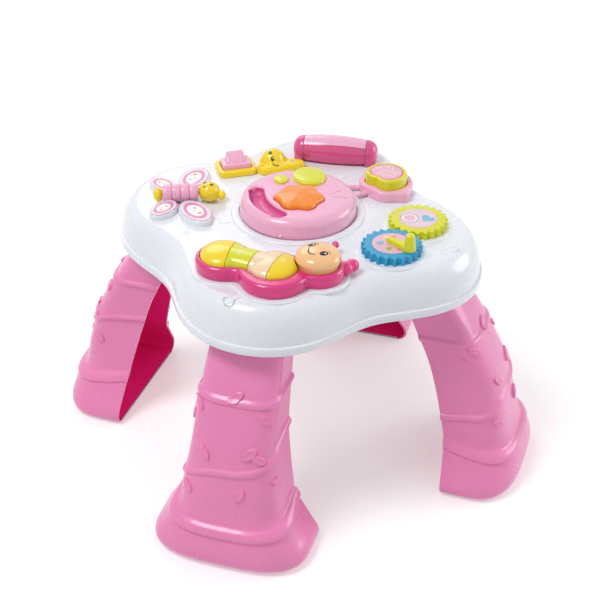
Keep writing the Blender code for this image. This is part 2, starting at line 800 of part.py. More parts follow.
def make_top_shell():
    shell = bare_shell()
    join(shell, *deck_pads())
    well = drum("well_cup", WELL_RADIUS + SHELL_WALL, -WELL_DEPTH - SHELL_WALL, -SHELL_WALL / 2, 28)
    notch_at = ((HINGE_POST_X + NOTCH_X) / 2, 0.0)
    notch_size = (NOTCH_X - HINGE_POST_X, 2 * NOTCH_HALF)
    notch_cup_size = (notch_size[0] + 2 * SHELL_WALL, notch_size[1] + 2 * SHELL_WALL)
    notch_cup = block("notch_cup", notch_cup_size, -NOTCH_DEPTH - SHELL_WALL, -SHELL_WALL / 2, notch_at)
    trough_half = DRUM_HALF + TROUGH_SLIP
    pan = barrel_blank("trough_pan", trough_half + TROUGH_WALL, TROUGH_SLIP + TROUGH_WALL)
    keep(pan, block("below_deck", (2 * BARREL_HALF, 4 * BARREL_RADIUS), -2 * BARREL_RADIUS, -SHELL_WALL / 2))
    pan = baked(pan)
    moved(pan, barrel_frame())
    columns = bosses(BOSS_RADIUS, 6, LEG_TOP + GAP, DECK_Z - SHELL_WALL / 2, cover_top() + GAP,
                     DECK_Z - SHELL_WALL / 2)
    join(shell, moved(well, lid_frame()), moved(notch_cup, lid_frame()), pan, columns)
    posts = together("gear_posts", [at_place(drum("post", POST_RADIUS, DECK_Z - SHELL_WALL / 2,
                                                  DECK_Z + GEAR_TOP - CAP_THICK - 3 * GAP, 20), where)
                                    for where in gear_places()])
    join(shell, posts)
    hollow = drum("well_hollow", WELL_RADIUS, -WELL_DEPTH, OVERRUN, 28)
    notch = block("notch", notch_size, -NOTCH_DEPTH, OVERRUN, notch_at)
    trough = barrel_blank("trough", trough_half, TROUGH_SLIP)
    depth = SCREW_LENGTH
    holes = bosses(SCREW_RADIUS + SCREW_PLAY, 6, LEG_TOP - OVERRUN, LEG_TOP + depth,
                   cover_top() - OVERRUN, cover_top() + depth)
    cut(shell, moved(hollow, lid_frame()), moved(notch, lid_frame()), moved(trough, barrel_frame()), holes)
    arms = together("hinge_arms", [hinge_arm("arm", y) for y in (HINGE_SPREAD, -HINGE_SPREAD - HINGE_LEAF)])
    join(shell, moved(arms, lid_frame()))
    bore = hinge_bore("arm_bore", HINGE_PIN_RADIUS + GAP, HINGE_SPREAD + HINGE_LEAF + OVERRUN)
    cut(shell, moved(bore, lid_frame()))
    part(shell, "top_shell", "white_plastic")


# Legs

def leg_section(height, grow=0.0, inner_grow=0.0):
    """The leg's outline at a height, from one inner edge round the front to the other."""
    share = height / LEG_TOP
    reach = LEG_REACH * between(LEG_OUTER_SHARES, share) + grow
    inner = LEG_REACH * between(LEG_INNER_SHARES, share) - inner_grow
    half = LEG_HALF * between(LEG_HALF_SHARES, share) + grow
    depth = (reach - inner) * between(LEG_FRONT_ROUND_SHARES, share)
    points = [Vector((inner, -half, 0.0))]
    for i in range(LEG_FRONT_POINTS + 1):
        angle = math.pi * (i / LEG_FRONT_POINTS - 0.5)
        rise = math.sin(angle)
        points.append(Vector((reach - depth + depth * abs(math.cos(angle)) ** (2 / LEG_FRONT_POWER),
                              math.copysign(half * abs(rise) ** (2 / LEG_FRONT_POWER), rise), 0.0)))
    points.append(Vector((inner, half, 0.0)))
    return points


def leg_levels():
    """Height, tilt, dip at the front and swelling of the leg's rings, from the sole up."""
    levels = [(share * LEG_TOP, 0.0, 0.0, 0.0) for share in LEG_FOOT_LEVEL_SHARES]
    for step, proud in ((-BAND_HALF, 0.0), (0.0, BAND_PROUD), (BAND_HALF, 0.0)):
        levels.append((BAND_Z + step, 0.0, BAND_DIP, proud))
    for step, proud in ((-RIDGE_HALF, 0.0), (0.0, RIDGE_PROUD), (RIDGE_HALF, 0.0)):
        levels.append((RIDGE_LOWER_Z + step, RIDGE_LOWER_TILT, 0.0, proud))
    levels.append((LEG_MIDDLE_LEVEL_SHARE * LEG_TOP, 0.0, 0.0, 0.0))
    for step, proud in ((-RIDGE_HALF, 0.0), (0.0, RIDGE_PROUD), (RIDGE_HALF, 0.0)):
        levels.append((RIDGE_UPPER_Z + step, 0.0, 0.0, proud))
    levels += [(share * LEG_TOP, 0.0, 0.0, 0.0) for share in LEG_TOP_LEVEL_SHARES]
    return levels


def leg_ring(level):
    height, tilt, dip, proud = level
    last = LEG_FRONT_POINTS + 2
    ring = []
    for i in range(last + 1):
        across = 2 * i / last - 1
        z = height + tilt * across - dip * (1 - across ** 2)
        point = leg_section(z, proud)[i]
        ring.append(Vector((point.x, point.y, z)))
    return ring


def leg_mesh():
    """An open channel with a sole and a top plate, thickened inwards, with a screw hole."""
    bm = bmesh.new()
    rings = [[bm.verts.new(point) for point in leg_ring(level)] for level in leg_levels()]
    for lower, upper in zip(rings, rings[1:]):
        for i in range(len(lower) - 1):
            bm.faces.new((lower[i], lower[i + 1], upper[i + 1], upper[i]))
    bm.faces.new(list(reversed(rings[0])))
    bm.faces.new(rings[-1])
    leg = from_bmesh(bm, "leg_shape")
    wall = leg.modifiers.new("wall", "SOLIDIFY")
    wall.thickness = LEG_WALL
    wall.offset = -1.0
    wall.use_even_offset = True
    hole = drum("hole", SCREW_RADIUS + SCREW_PLAY, LEG_TOP - LEG_WALL - OVERRUN, LEG_TOP + OVERRUN, 6)
    cut(leg, at_place(hole, (LEG_SCREW_SHARE * LEG_REACH, 0.0)))
    leg = baked(leg)
    mesh = leg.data
    bpy.data.objects.remove(leg, do_unlink=True)
    return mesh


def make_legs():
    mesh = leg_mesh()
    for name in LEG_TURNS:
        part(bpy.data.objects.new(name, mesh), "leg_" + name, "pink_plastic", leg_frame(name))


def screw(where, head_top):
    """A screw that goes up, with its head's upper face at a height."""
    tip = head_top + SCREW_LENGTH
    profile = [(0.0, tip), (SCREW_RADIUS, tip), (SCREW_RADIUS, head_top), (SCREW_HEAD_RADIUS, head_top),
               (SCREW_HEAD_RADIUS, head_top - SCREW_HEAD), (0.0, head_top - SCREW_HEAD)]
    return at_place(turned("screw", profile, SCREW_SIDES), where)


def make_screws():
    for name, where in zip(LEG_TURNS, leg_screw_places()):
        part(screw(where, LEG_TOP - LEG_WALL - GAP), "leg_screw_" + name, "steel")
    for number, where in enumerate(cover_screw_places()):
        part(screw(where, RIM_Z + COVER_LIFT - GAP), "cover_screw_" + str(number + 1), "steel")


# Base cover and what it carries

def bay_size():
    """The battery bay's inner length, width and height."""
    return (CELL_LENGTH + 2 * BAY_MARGIN, CELL_COUNT * CELL_PITCH + 2 * BAY_MARGIN,
            2 * CELL_RADIUS + 2 * BAY_MARGIN)


def door_size():
    length, width, _ = bay_size()
    return length - 2 * GAP, width - 2 * GAP


def switch_slot():
    return SWITCH_KNOB[0] + SWITCH_TRAVEL + 2 * SLIP, SWITCH_KNOB[1] + 2 * SLIP


def make_base_cover():
    low = RIM_Z + COVER_LIFT
    high = cover_top()
    inset = SHELL_WALL + 2 * SLIP
    cover = prism("cover", [rim_point(math.tau * i / RIM_SIDES, inset) for i in range(RIM_SIDES)], low, high)
    length, width, height = bay_size()
    ceiling = low + DOOR_THICK + GAP + height
    bay = block("bay_walls", (length + 2 * BAY_WALL, width + 2 * BAY_WALL), low, ceiling + BAY_WALL)
    join(cover, bay)
    section = leg_section((low + high) / 2, LEG_GROW, LEG_GROW)
    for name in LEG_TURNS:
        cut(cover, moved(prism("leg_opening", section, low - OVERRUN, high + OVERRUN), leg_frame(name)))
    slots = [block("slot", SLOT_SIZE, low - OVERRUN, high + OVERRUN,
                   place(SPEAKER_PLACE_SHARE) + Vector((0.0, (i - (SLOT_COUNT - 1) / 2) * SLOT_PITCH, 0.0)))
             for i in range(SLOT_COUNT)]
    under = low - OVERRUN
    slots.append(block("switch_slot", switch_slot(), under, high + OVERRUN, place(SWITCH_PLACE_SHARE)))
    slots += [at_place(drum("cover_hole", SCREW_RADIUS + SCREW_PLAY, low - OVERRUN, high + OVERRUN, 6), where)
              for where in cover_screw_places()]
    slots.append(block("bay_hollow", (length, width), low - OVERRUN, ceiling))
    cut(cover, together("cover_cuts", slots))
    part(cover, "base_cover", "white_plastic")


def make_battery_parts():
    floor = RIM_Z + COVER_LIFT + DOOR_THICK + GAP
    middle = floor + bay_size()[2] / 2
    half = CELL_LENGTH / 2
    for i in range(CELL_COUNT):
        y = (i - (CELL_COUNT - 1) / 2) * CELL_PITCH
        cell = rod("cell", (-half, y, middle), (half, y, middle), CELL_RADIUS, 14)
        part(cell, "battery_cell_" + str(i + 1), "black_part")
    low = RIM_Z + COVER_LIFT
    part(block("door", door_size(), low, low + DOOR_THICK), "battery_door", "white_plastic")


def make_boards():
    low = cover_top() + GAP
    board = block("board", BOARD_SIZE[:2], low, low + BOARD_SIZE[2], place(BOARD_PLACE_SHARE))
    part(board, "main_board", "green_board")
    rim = SPEAKER_HEIGHT / 4
    magnet = SPEAKER_RADIUS / 2
    profile = [(0.0, SPEAKER_HEIGHT), (magnet, SPEAKER_HEIGHT), (magnet, SPEAKER_HEIGHT / 2),
               (SPEAKER_RADIUS, rim), (SPEAKER_RADIUS, 0.0), (0.0, 0.0)]
    speaker = turned("speaker", profile, 16)
    part(at_place(speaker, place(SPEAKER_PLACE_SHARE), low), "speaker", "black_part")


def make_power_switch():
    """A slider on the cover, whose knob shows under it and moves along X from one end of its slot."""
    slack = SWITCH_TRAVEL / 2
    at = (-slack, 0.0)
    wide = (SWITCH_KNOB[0] + 2 * SWITCH_TRAVEL, 3 * SWITCH_KNOB[1])
    plate = block("slider", wide, cover_top() + GAP, cover_top() + GAP + DOOR_THICK, at)
    knob = block("slider_knob", SWITCH_KNOB, RIM_Z + GAP, cover_top() + DOOR_THICK, at)
    join(plate, knob)
    part(plate, "power_switch", "black_part", frame_at(place(SWITCH_PLACE_SHARE)))


# Lid

def thumb_outline(grow):
    """A bean shape along X, bent towards +Y, for the thumb recess."""
    half = RECESS_LENGTH / 2 - RECESS_HALF
    width = RECESS_HALF + grow
    bend = RECESS_LENGTH * RECESS_BEND_SHARE

    def spine(x):
        return Vector((x, bend * (1 - (x / half) ** 2) / 2, 0.0))

    steps = 4
    upper = [spine(half * (2 * i / steps - 1)) + Vector((0.0, width, 0.0)) for i in range(steps + 1)]
    lower = [spine(half * (1 - 2 * i / steps)) - Vector((0.0, width, 0.0)) for i in range(steps + 1)]
    right = [spine(half) + polar(width, math.pi / 2 * (1 - 2 * i / steps)) for i in range(1, steps)]
    left = [spine(-half) + polar(width, -math.pi / 2 * (1 + 2 * i / steps)) for i in range(1, steps)]
    return list(reversed(upper + right + lower + left))


def lid_point(share):
    return Vector((share[0] * LID_RADIUS, share[1] * LID_RADIUS, 0.0))


def recess_place():
    """The middle of the thumb recess, beside the flower button."""
    return lid_point(FLOWER_PLACE_SHARE) + polar(FLOWER_RADIUS + RECESS_HALF + RECESS_CLEARANCE, RECESS_WAY)


def leaf_place():
    """The middle of the large leaf, on the flower button's other side."""
    reach = FLOWER_RADIUS * (1 + FLOWER_LOBE_SHARE) + LEAF_HALF[0] + LEAF_CLEARANCE
    return lid_point(FLOWER_PLACE_SHARE) + polar(reach, LEAF_WAY)


def flower_outline(grow):
    return [p + lid_point(FLOWER_PLACE_SHARE)
            for p in lobed(FLOWER_RADIUS + grow, FLOWER_LOBES, FLOWER_LOBE_SHARE, math.radians(20), 42)]


def lid_shell():
    """The lid's wall: a low drum with a rounded shoulder, open underneath."""
    outer = [(0.0, LID_TOP), (LID_RADIUS * LID_FLAT_SHARE, LID_TOP),
             (LID_RADIUS * LID_SHOULDER_SHARE, LID_SHOULDER),
             (LID_RADIUS * LID_SWELL_SHARE, LID_SHOULDER / 2), (LID_RADIUS, LID_LIFT)]
    inner = [(LID_RADIUS - LID_WALL, LID_LIFT), (LID_RADIUS * LID_SWELL_SHARE - LID_WALL, LID_SHOULDER / 2),
             (LID_RADIUS * LID_SHOULDER_SHARE - LID_WALL, LID_SHOULDER - LID_WALL / 2),
             (LID_RADIUS * LID_FLAT_SHARE - LID_WALL / 2, LID_TOP - LID_WALL), (0.0, LID_TOP - LID_WALL)]
    return turned("lid_shell", outer + inner, 28)


def hinge_lug(name, y):
    """A lug that hangs from the lid's top down to the hinge pin."""
    eye = [Vector((HINGE_X, HINGE_Z, 0.0)) + polar(HINGE_EYE_RADIUS, -math.pi * i / 6) for i in range(7)]
    top = LID_SHOULDER - LID_WALL
    outline = [(HINGE_X - HINGE_EYE_RADIUS, top), (HINGE_X - HINGE_EYE_RADIUS, HINGE_Z)]
    outline += list(reversed(eye))[1:] + [(HINGE_X - HINGE_EYE_RADIUS / 3, top)]
    lug = prism(name, outline, 0.0, HINGE_LEAF)
    return moved(lug, Matrix.Translation((0.0, y + HINGE_LEAF, 0.0)) @ Matrix.Rotation(math.pi / 2, 4, "X"))


def make_lid():
    """The lid turns on a pin across its own X axis; its pieces ride on an empty on that axis."""
    base = lid_frame()
    axis = pivot("lid_hinge", base @ Matrix.Translation((HINGE_X, 0.0, HINGE_Z)))
    lid = lid_shell()
    under_top = LID_TOP - LID_WALL / 2
    cup = at_place(drum("button_cup", FLOWER_RADIUS * (1 + FLOWER_LOBE_SHARE) + SLIP + LID_WALL,
                        FLOWER_FLOOR - LID_WALL, under_top, 24), lid_point(FLOWER_PLACE_SHARE))
    recess_frame = frame_at(recess_place(), 0.0, RECESS_TURN)
    recess_floor = LID_TOP - RECESS_DEPTH
    pocket = prism("thumb_pocket", thumb_outline(LID_WALL), recess_floor - LID_WALL, under_top)
    moved(pocket, recess_frame)
    lug_y = HINGE_SPREAD + HINGE_LEAF + SLIP
    lugs = together("hinge_lugs", [hinge_lug("lug", lug_y), hinge_lug("lug", -lug_y - HINGE_LEAF)])
    join(lid, cup, pocket, lugs)
    well = prism("button_well", flower_outline(SLIP), FLOWER_FLOOR, LID_TOP + OVERRUN)
    thumb = moved(prism("thumb_recess", thumb_outline(0.0), recess_floor, LID_TOP + OVERRUN), recess_frame)
    bore = hinge_bore("lug_bore", HINGE_PIN_RADIUS + RUNNING_FIT, lug_y + HINGE_LEAF + OVERRUN)
    cut(lid, well, thumb, bore)
    part(lid, "lid", "pink_plastic", base, axis)
    half = lug_y + HINGE_LEAF
    part(hinge_bore("pin", HINGE_PIN_RADIUS, half), "lid_pin", "steel", base)


def dome_on(outline_radii, turn, at, base, height, name):
    """A low dome over an oval, standing on a short wall."""
    profile = [(out_share, height * up_share) for out_share, up_share in LEAF_DOME_SHARES]
    made = turned(name, profile, 20)
    for vert in made.data.vertices:
        vert.co.x *= outline_radii[0]
        vert.co.y *= outline_radii[1]
    return moved(made, frame_at(at, base, turn))


def make_lid_trim():
    base = lid_frame()
    axis = bpy.data.objects["lid_hinge"]
    middle = lid_point(FLOWER_PLACE_SHARE)
    flower = prism("flower", flower_outline(0.0), FLOWER_BOTTOM, FLOWER_TOP)
    round_top(flower, (FLOWER_TOP - LID_TOP) / 2)
    part(flower, "flower_button", "orange_plastic", base, axis)
    dome = spring_dome("dome", FLOWER_FLOOR, FLOWER_BOTTOM, middle)
    part(dome, "flower_dome", "silicone", base, axis)
    leaf = dome_on(LEAF_HALF, LEAF_TURN, leaf_place(), LID_TOP + GAP, LEAF_HEIGHT, "leaf")
    part(leaf, "large_leaf", "lime_plastic", base, axis)
    small = dome_on(SMALL_LEAF_HALF, LEAF_TURN, lid_point(SMALL_LEAF_PLACE_SHARE), LID_TOP + GAP,
                    SMALL_LEAF_HEIGHT, "leaf")
    part(small, "small_leaf", "lime_plastic", base, axis)
    mirror = drum("mirror", MIRROR_RADIUS, GAP - WELL_DEPTH, GAP - WELL_DEPTH + MIRROR_THICK, 28)
    part(mirror, "lid_mirror", "mirror", base)


def spring_dome(name, floor, ceiling, at):
    """A silicone dome that pushes a button back up."""
    low = floor + GAP
    high = ceiling - GAP
    narrow = DOME_RADIUS * 2 / 3
    made = turned(name, [(0.0, high), (narrow, high), (DOME_RADIUS, low), (0.0, low)], 12)
    return moved(made, frame_at(at))


# Worm

def body_low():
    return BORDER_HEIGHT + GAP


def key_lobes(grow):
    """Radius and middle of the round ends of the row of keys."""
    tail, middle, _ = worm_places()
    shift = Vector((KEY_OFFSET_SHARE[0] * MIDDLE_LOBE, KEY_OFFSET_SHARE[1] * MIDDLE_LOBE, 0.0))
    return ((TAIL_LOBE - TAIL_MARGIN + grow, tail), (MIDDLE_LOBE - MIDDLE_MARGIN + grow, middle + shift))


def key_row_plate(name, grow, head_grow, bottom, top):
    """The outline of all the keys together, with the head's, as a plate on the deck."""
    (tail_radius, tail), (middle_radius, middle) = key_lobes(grow)
    plate = at_place(drum(name, tail_radius, bottom, top, 20), tail)
    join(plate, at_place(drum("middle_plate", middle_radius, bottom, top, 20), middle))
    join(plate, spine_neck("neck_plate", (tail, middle), KEY_NECK + grow, bottom, top))
    head = worm_places()[2]
    join(plate, at_place(drum("head_plate", HEAD_KEY_SKIRT + head_grow, bottom, top, 20), head))
    return baked(plate)


def lobe(radius, where):
    low = body_low()
    rise = BODY_HEIGHT - low
    profile = [(0.0, BODY_HEIGHT), (radius - LOBE_ROUND, BODY_HEIGHT),
               (radius - LOBE_ROUND / 4, BODY_HEIGHT - LOBE_ROUND), (radius, low + rise / 2),
               (radius - LOBE_ROUND / 3, low), (0.0, low)]
    return at_place(turned("lobe", profile, 20), where)


def make_worm_base():
    tail, middle, head = worm_places()
    base = lobe(MIDDLE_LOBE, middle)
    join(base, lobe(TAIL_LOBE, tail), lobe(HEAD_LOBE, head))
    low = body_low()
    join(base, spine_neck("base_neck", (tail, middle), BODY_NECK, low, BODY_HEIGHT))
    root = head + Vector(FEELER_ROOT_SHARE).to_3d() * HEAD_LOBE
    knob = head + Vector(FEELER_SHARE).to_3d() * HEAD_LOBE
    lift = Vector((0.0, 0.0, FEELER_HEIGHT))
    join(base, rod("feeler_stem", root + lift, knob + lift, FEELER_STEM, 8))
    join(base, ball("feeler_knob", [FEELER_RADIUS] * 3, knob + lift, 10, 6))
    for radius, share in zip(BOW_RADII, BOW_SHARES):
        at = head + Vector(share).to_3d() * HEAD_LOBE + Vector((0.0, 0.0, low + BOW_HEIGHT / 2))
        join(base, ball("bow", (radius, radius, BOW_HEIGHT / 2), at, 12, 6))
    cut(base, key_row_plate("key_pit", SLIP, SLIP, low - OVERRUN, BODY_HEIGHT + OVERRUN))
    part(base, "worm_base", "magenta_plastic", frame_at((0.0, 0.0), DECK_Z))


def dome_arc(radius, low, top, steps):
    """A quarter ellipse from the crown of a dome down to its edge, as (radius, height)."""
    turns = [math.pi / 2 * (1 - i / steps) for i in range(steps + 1)]
    return [(radius * math.cos(t), low + (top - low) * math.sin(t)) for t in turns]


def key_dome_profile(radius):
    return dome_arc(radius, BODY_HEIGHT, KEY_TOP, 5) + [(radius, KEY_BOTTOM), (0.0, KEY_BOTTOM)]


def key_blank():
    """All four keys as one domed body."""
    (tail_radius, tail), (middle_radius, middle) = key_lobes(0.0)
    blank = at_place(turned("key_blank", key_dome_profile(tail_radius), 20), tail)
    join(blank, at_place(turned("middle_dome", key_dome_profile(middle_radius), 20), middle))
    outline = [(x, z) for x, z in key_dome_profile(KEY_NECK)]
    outline += [(-x, z) for x, z in reversed(outline) if x > 0.0]
    arch = prism("neck_dome", outline, 0.0, (tail - middle).length)
    along = (tail - middle).normalized()
    across = Vector((0.0, 0.0, 1.0)).cross(along)
    turn = Matrix((across, Vector((0.0, 0.0, 1.0)), along)).transposed().to_4x4()
    join(blank, moved(arch, Matrix.Translation(middle) @ turn))
    return baked(blank)


def key_cuts():
    """The dividing lines between the keys and past both ends, as (point, direction)."""
    _, middle, _ = worm_places()
    lines = [(middle + polar(share * BODY_PITCH, TAIL_TURN), polar(1.0, turn))
             for share, turn in zip(KEY_CUT_SHARES, KEY_CUT_TURNS)]
    beyond = polar(BODY_PITCH, TAIL_TURN)
    return [(lines[0][0] + beyond, lines[0][1])] + lines + [(lines[-1][0] - beyond, lines[-1][1])]


def make_keys():
    head = worm_places()[2]
    blank = key_blank()
    low = KEY_BOTTOM - OVERRUN
    high = KEY_TOP + OVERRUN
    reach = 2 * MIDDLE_LOBE
    half_slit = polar(SLIP / 2, TAIL_TURN)
    lines = key_cuts()
    finishes = ("yellow_plastic", "lime_plastic", "peach_plastic", "yellow_plastic")
    for number, finish in enumerate(finishes):
        (start, start_way), (end, end_way) = lines[number], lines[number + 1]
        corners = [start - half_slit + start_way * reach, start - half_slit - start_way * reach,
                   end + half_slit - end_way * reach, end + half_slit + end_way * reach]
        key = prism("key", corners, low, high)
        keep(key, blank)
        if number == len(finishes) - 1:
            cut(key, at_place(drum("head_room", HEAD_KEY_RADIUS + SLIP, low, high, 36), head))
        key = baked(key)
        middle = sum((vert.co for vert in key.data.vertices), Vector()) / len(key.data.vertices)
        middle.z = 0.0
        moved(key, Matrix.Translation(-middle))
        part(key, "key_" + str(number + 1), finish, frame_at(middle, DECK_Z))


def make_head_key():
    head = worm_places()[2]
    waist = BODY_HEIGHT + KEY_TRAVEL + SLIP
    profile = dome_arc(HEAD_KEY_RADIUS, waist + LOBE_ROUND, HEAD_KEY_TOP, 6)
    profile += [(HEAD_KEY_SKIRT, waist), (HEAD_KEY_SKIRT, KEY_BOTTOM), (0.0, KEY_BOTTOM)]
    part(turned("head_key", profile, 24), "head_key", "peach_plastic", frame_at(head, DECK_Z))


def make_key_board():
    """The board, and on it a silicone mat that stops the keys at the end of their travel."""
    low = body_low()
    top = low + KEY_BOARD_THICK
    board = key_row_plate("key_board", -KEY_BOARD_MARGIN, -KEY_BOARD_MARGIN, low, top)
    part(board, "key_board", "green_board", frame_at((0.0, 0.0), DECK_Z))
    mat_top = KEY_BOTTOM - KEY_TRAVEL - GAP
    mat = key_row_plate("key_mat", -KEY_BOARD_MARGIN, -KEY_BOARD_MARGIN, top + GAP, mat_top)
    part(mat, "key_mat", "silicone", frame_at((0.0, 0.0), DECK_Z))


# Butterfly

def make_butterfly():
    base = butterfly_frame()
    spin = pivot("roller_axis", base @ Matrix.Translation((0.0, 0.0, ROLLER_Z)))
    half = ROLLER_LENGTH / 2
    bore = AXLE_RADIUS + RUNNING_FIT
    rib = ROLLER_LENGTH / ROLLER_RIBS
    edge = ROLLER_RADIUS - ROLLER_GROOVE
    outer = []
    for i in range(ROLLER_RIBS):
        start = half - i * rib
        outer += [(edge, start), (ROLLER_RADIUS, start - rib / 4), (ROLLER_RADIUS, start - 3 * rib / 4)]
    outer.append((edge, -half))
    profile = [(bore, half)] + outer + [(bore, -half), (bore, half)]
    lie = Matrix.Rotation(math.pi / 2, 4, "Y")
    roller = moved(turned("roller", profile, 20), lie)
    part(roller, "butterfly_roller", "pink_plastic", base @ Matrix.Translation((0.0, 0.0, ROLLER_Z)), spin)
    start = (INSECT_TAIL_X, 0.0, ROLLER_Z)
    end = (INSECT_HEAD_X, 0.0, ROLLER_Z)
    part(rod("axle", start, end, AXLE_RADIUS, 24), "roller_axle", "steel", base)
    floor = block("under_deck", (4 * ROLLER_LENGTH, 4 * ROLLER_LENGTH), -ROLLER_LENGTH, GAP)
    head = ball("head", INSECT_HEAD, (INSECT_HEAD_X, 0.0, ROLLER_Z), 16, 10)
    join(head, ball("horn", HORN, (HORN_X, HORN_Y, HORN_Z), 10, 6))
    face = block("head_face", (ROLLER_LENGTH, ROLLER_LENGTH), -ROLLER_LENGTH, ROLLER_LENGTH,
                 (half + GAP - ROLLER_LENGTH / 2, 0.0))
    axle_hole = rod("axle_hole", (INSECT_TAIL_X - GAP, 0.0, ROLLER_Z), (INSECT_HEAD_X + GAP, 0.0, ROLLER_Z),
                    AXLE_RADIUS + GAP, 24)
    cut(head, floor, face, axle_hole)
    part(head, "butterfly_head", "yellow_plastic", base)
    tail = ball("tail", INSECT_TAIL, (INSECT_TAIL_X, 0.0, ROLLER_Z), 12, 8)
    tail_face = block("tail_face", (ROLLER_LENGTH, ROLLER_LENGTH), -ROLLER_LENGTH, ROLLER_LENGTH,
                      (ROLLER_LENGTH / 2 - half - GAP, 0.0))
    cut(tail, floor, tail_face, axle_hole)
    part(tail, "butterfly_tail", "yellow_plastic", base)


# Push block in its tray, and the giraffe beside it

def tray_frame():
    return frame_at(place(TRAY_PLACE_SHARE), DECK_Z, TRAY_TURN)


def make_switch():
    base = tray_frame()
    tray = round_top(prism("tray", rounded_box(TRAY_SIZE, TRAY_CORNER), GAP, TRAY_HEIGHT), LOBE_ROUND)
    pit_size = [size + 2 * SLIP for size in BLOCK_SIZE]
    cut(tray, block("tray_pit", pit_size, TRAY_FLOOR, TRAY_HEIGHT + OVERRUN))
    part(tray, "switch_tray", "yellow_plastic", base)
    push = block("push", BLOCK_SIZE, BLOCK_BOTTOM, BLOCK_STEP)
    lift = (BLOCK_TOP - BLOCK_STEP) / 2
    hump = block("hump", HUMP_SIZE, BLOCK_STEP - GAP, BLOCK_TOP, (0.0, 0.0), HUMP_TOP_SIZE, HUMP_BACK)
    for vert in hump.data.vertices:
        if vert.co.z > BLOCK_STEP and vert.co.y < HUMP_BACK:
            vert.co.z -= lift / 2
    join(push, hump)
    part(push, "push_block", "pink_plastic", base)
    part(spring_dome("dome", TRAY_FLOOR, BLOCK_BOTTOM, (0.0, 0.0)), "block_dome", "silicone", base)


def make_giraffe():
    base = frame_at(place(GIRAFFE_PLACE_SHARE), DECK_Z)
    outline = smooth_loop([Vector(share).to_3d() * GIRAFFE_LENGTH for share in GIRAFFE_OUTLINE_SHARES], 2)
    body = round_top(prism("giraffe", outline, GAP, GIRAFFE_HEIGHT), LOBE_ROUND)
    low = GIRAFFE_HEIGHT / 2
    floor = block("under_giraffe", (2 * GIRAFFE_LENGTH, 2 * GIRAFFE_LENGTH), -GIRAFFE_LENGTH, low)
    lumps = [(GIRAFFE_HEAD, GIRAFFE_HEAD_SHARE), (GIRAFFE_MUZZLE, GIRAFFE_MUZZLE_SHARE)]
    lumps += [(GIRAFFE_EAR, share) for share in GIRAFFE_EAR_SHARES]
    for radii, share in lumps:
        at = Vector(share).to_3d() * GIRAFFE_LENGTH
        lump = ball("lump", radii, at, 14, 8)
        cut(lump, floor)
        join(body, baked(lump))
    tray_room = prism("tray_room", rounded_box([size + 2 * SLIP for size in TRAY_SIZE], TRAY_CORNER),
                      -OVERRUN, GIRAFFE_LENGTH)
    cut(body, moved(tray_room, base.inverted() @ tray_frame()))
    part(body, "giraffe", "yellow_plastic", base)


# Bead barrel

def barrel_tube(name, half, wall, bore=None):
    """The drum's wall along the barrel's axis, with bored end discs where a bore is given."""
    outer = barrel_profile(half, 0.0)
    if bore is None:
        inner = [(radius - wall, x) for radius, x in reversed(outer)]
    else:
        hollow = [(barrel_radius(x) - wall, x) for _, x in reversed(barrel_profile(half - wall, 0.0))]
        inner = [(bore, -half), (bore, wall - half)] + hollow + [(bore, half - wall), (bore, half)]
    return laid(turned(name, outer + inner + [outer[0]], DRUM_SIDES))


def window_block(name, half, start):
    """A block over the front side of the barrel, where its window is."""
    made = block(name, (2 * half, 2 * BARREL_RADIUS), -BARREL_RADIUS * 2, BARREL_RADIUS * 2,
                 (0.0, -start - BARREL_RADIUS))
    lift = Matrix.Translation((0.0, 0.0, BARREL_Z))
    return moved(made, lift @ Matrix.Rotation(-WINDOW_TILT, 4, "X"))


def make_barrel():
    base = barrel_frame()
    spin = pivot("barrel_axis", base @ Matrix.Translation((0.0, 0.0, BARREL_Z)))
    panel = barrel_tube("panel", DRUM_HALF, DRUM_WALL, DRUM_PIN_RADIUS + RUNNING_FIT)
    cut(panel, window_block("window_room", WINDOW_HALF, WINDOW_CUT))
    part(panel, "barrel_panel", "pink_plastic", base, spin)
    window = barrel_tube("window", WINDOW_HALF - GAP, DRUM_WALL)
    keep(window, window_block("window_part", WINDOW_HALF - GAP, WINDOW_CUT + GAP))
    part(window, "barrel_window", "window_plastic", base, spin)
    flat_share = math.cos(math.pi / DRUM_SIDES)
    for i, (rise, finish) in enumerate(zip(BEAD_RISE_SHARES, BEAD_FINISHES)):
        x = 2 * WINDOW_HALF * ((i + 1) / (BEAD_COUNT + 1) - 1 / 2)
        reach = (barrel_radius(x) - DRUM_WALL) * flat_share - BEAD_RADIUS - GAP
        at = (x, -reach * math.cos(math.pi / 2 * rise), BARREL_Z + reach * math.sin(math.pi / 2 * rise))
        part(ball("bead", [BEAD_RADIUS] * 3, at, 10, 7), "barrel_bead_" + str(i + 1), finish, base, spin)
    for side, word in ((-1, "left"), (1, "right")):
        make_barrel_cap("barrel_cap_" + word, side, base)


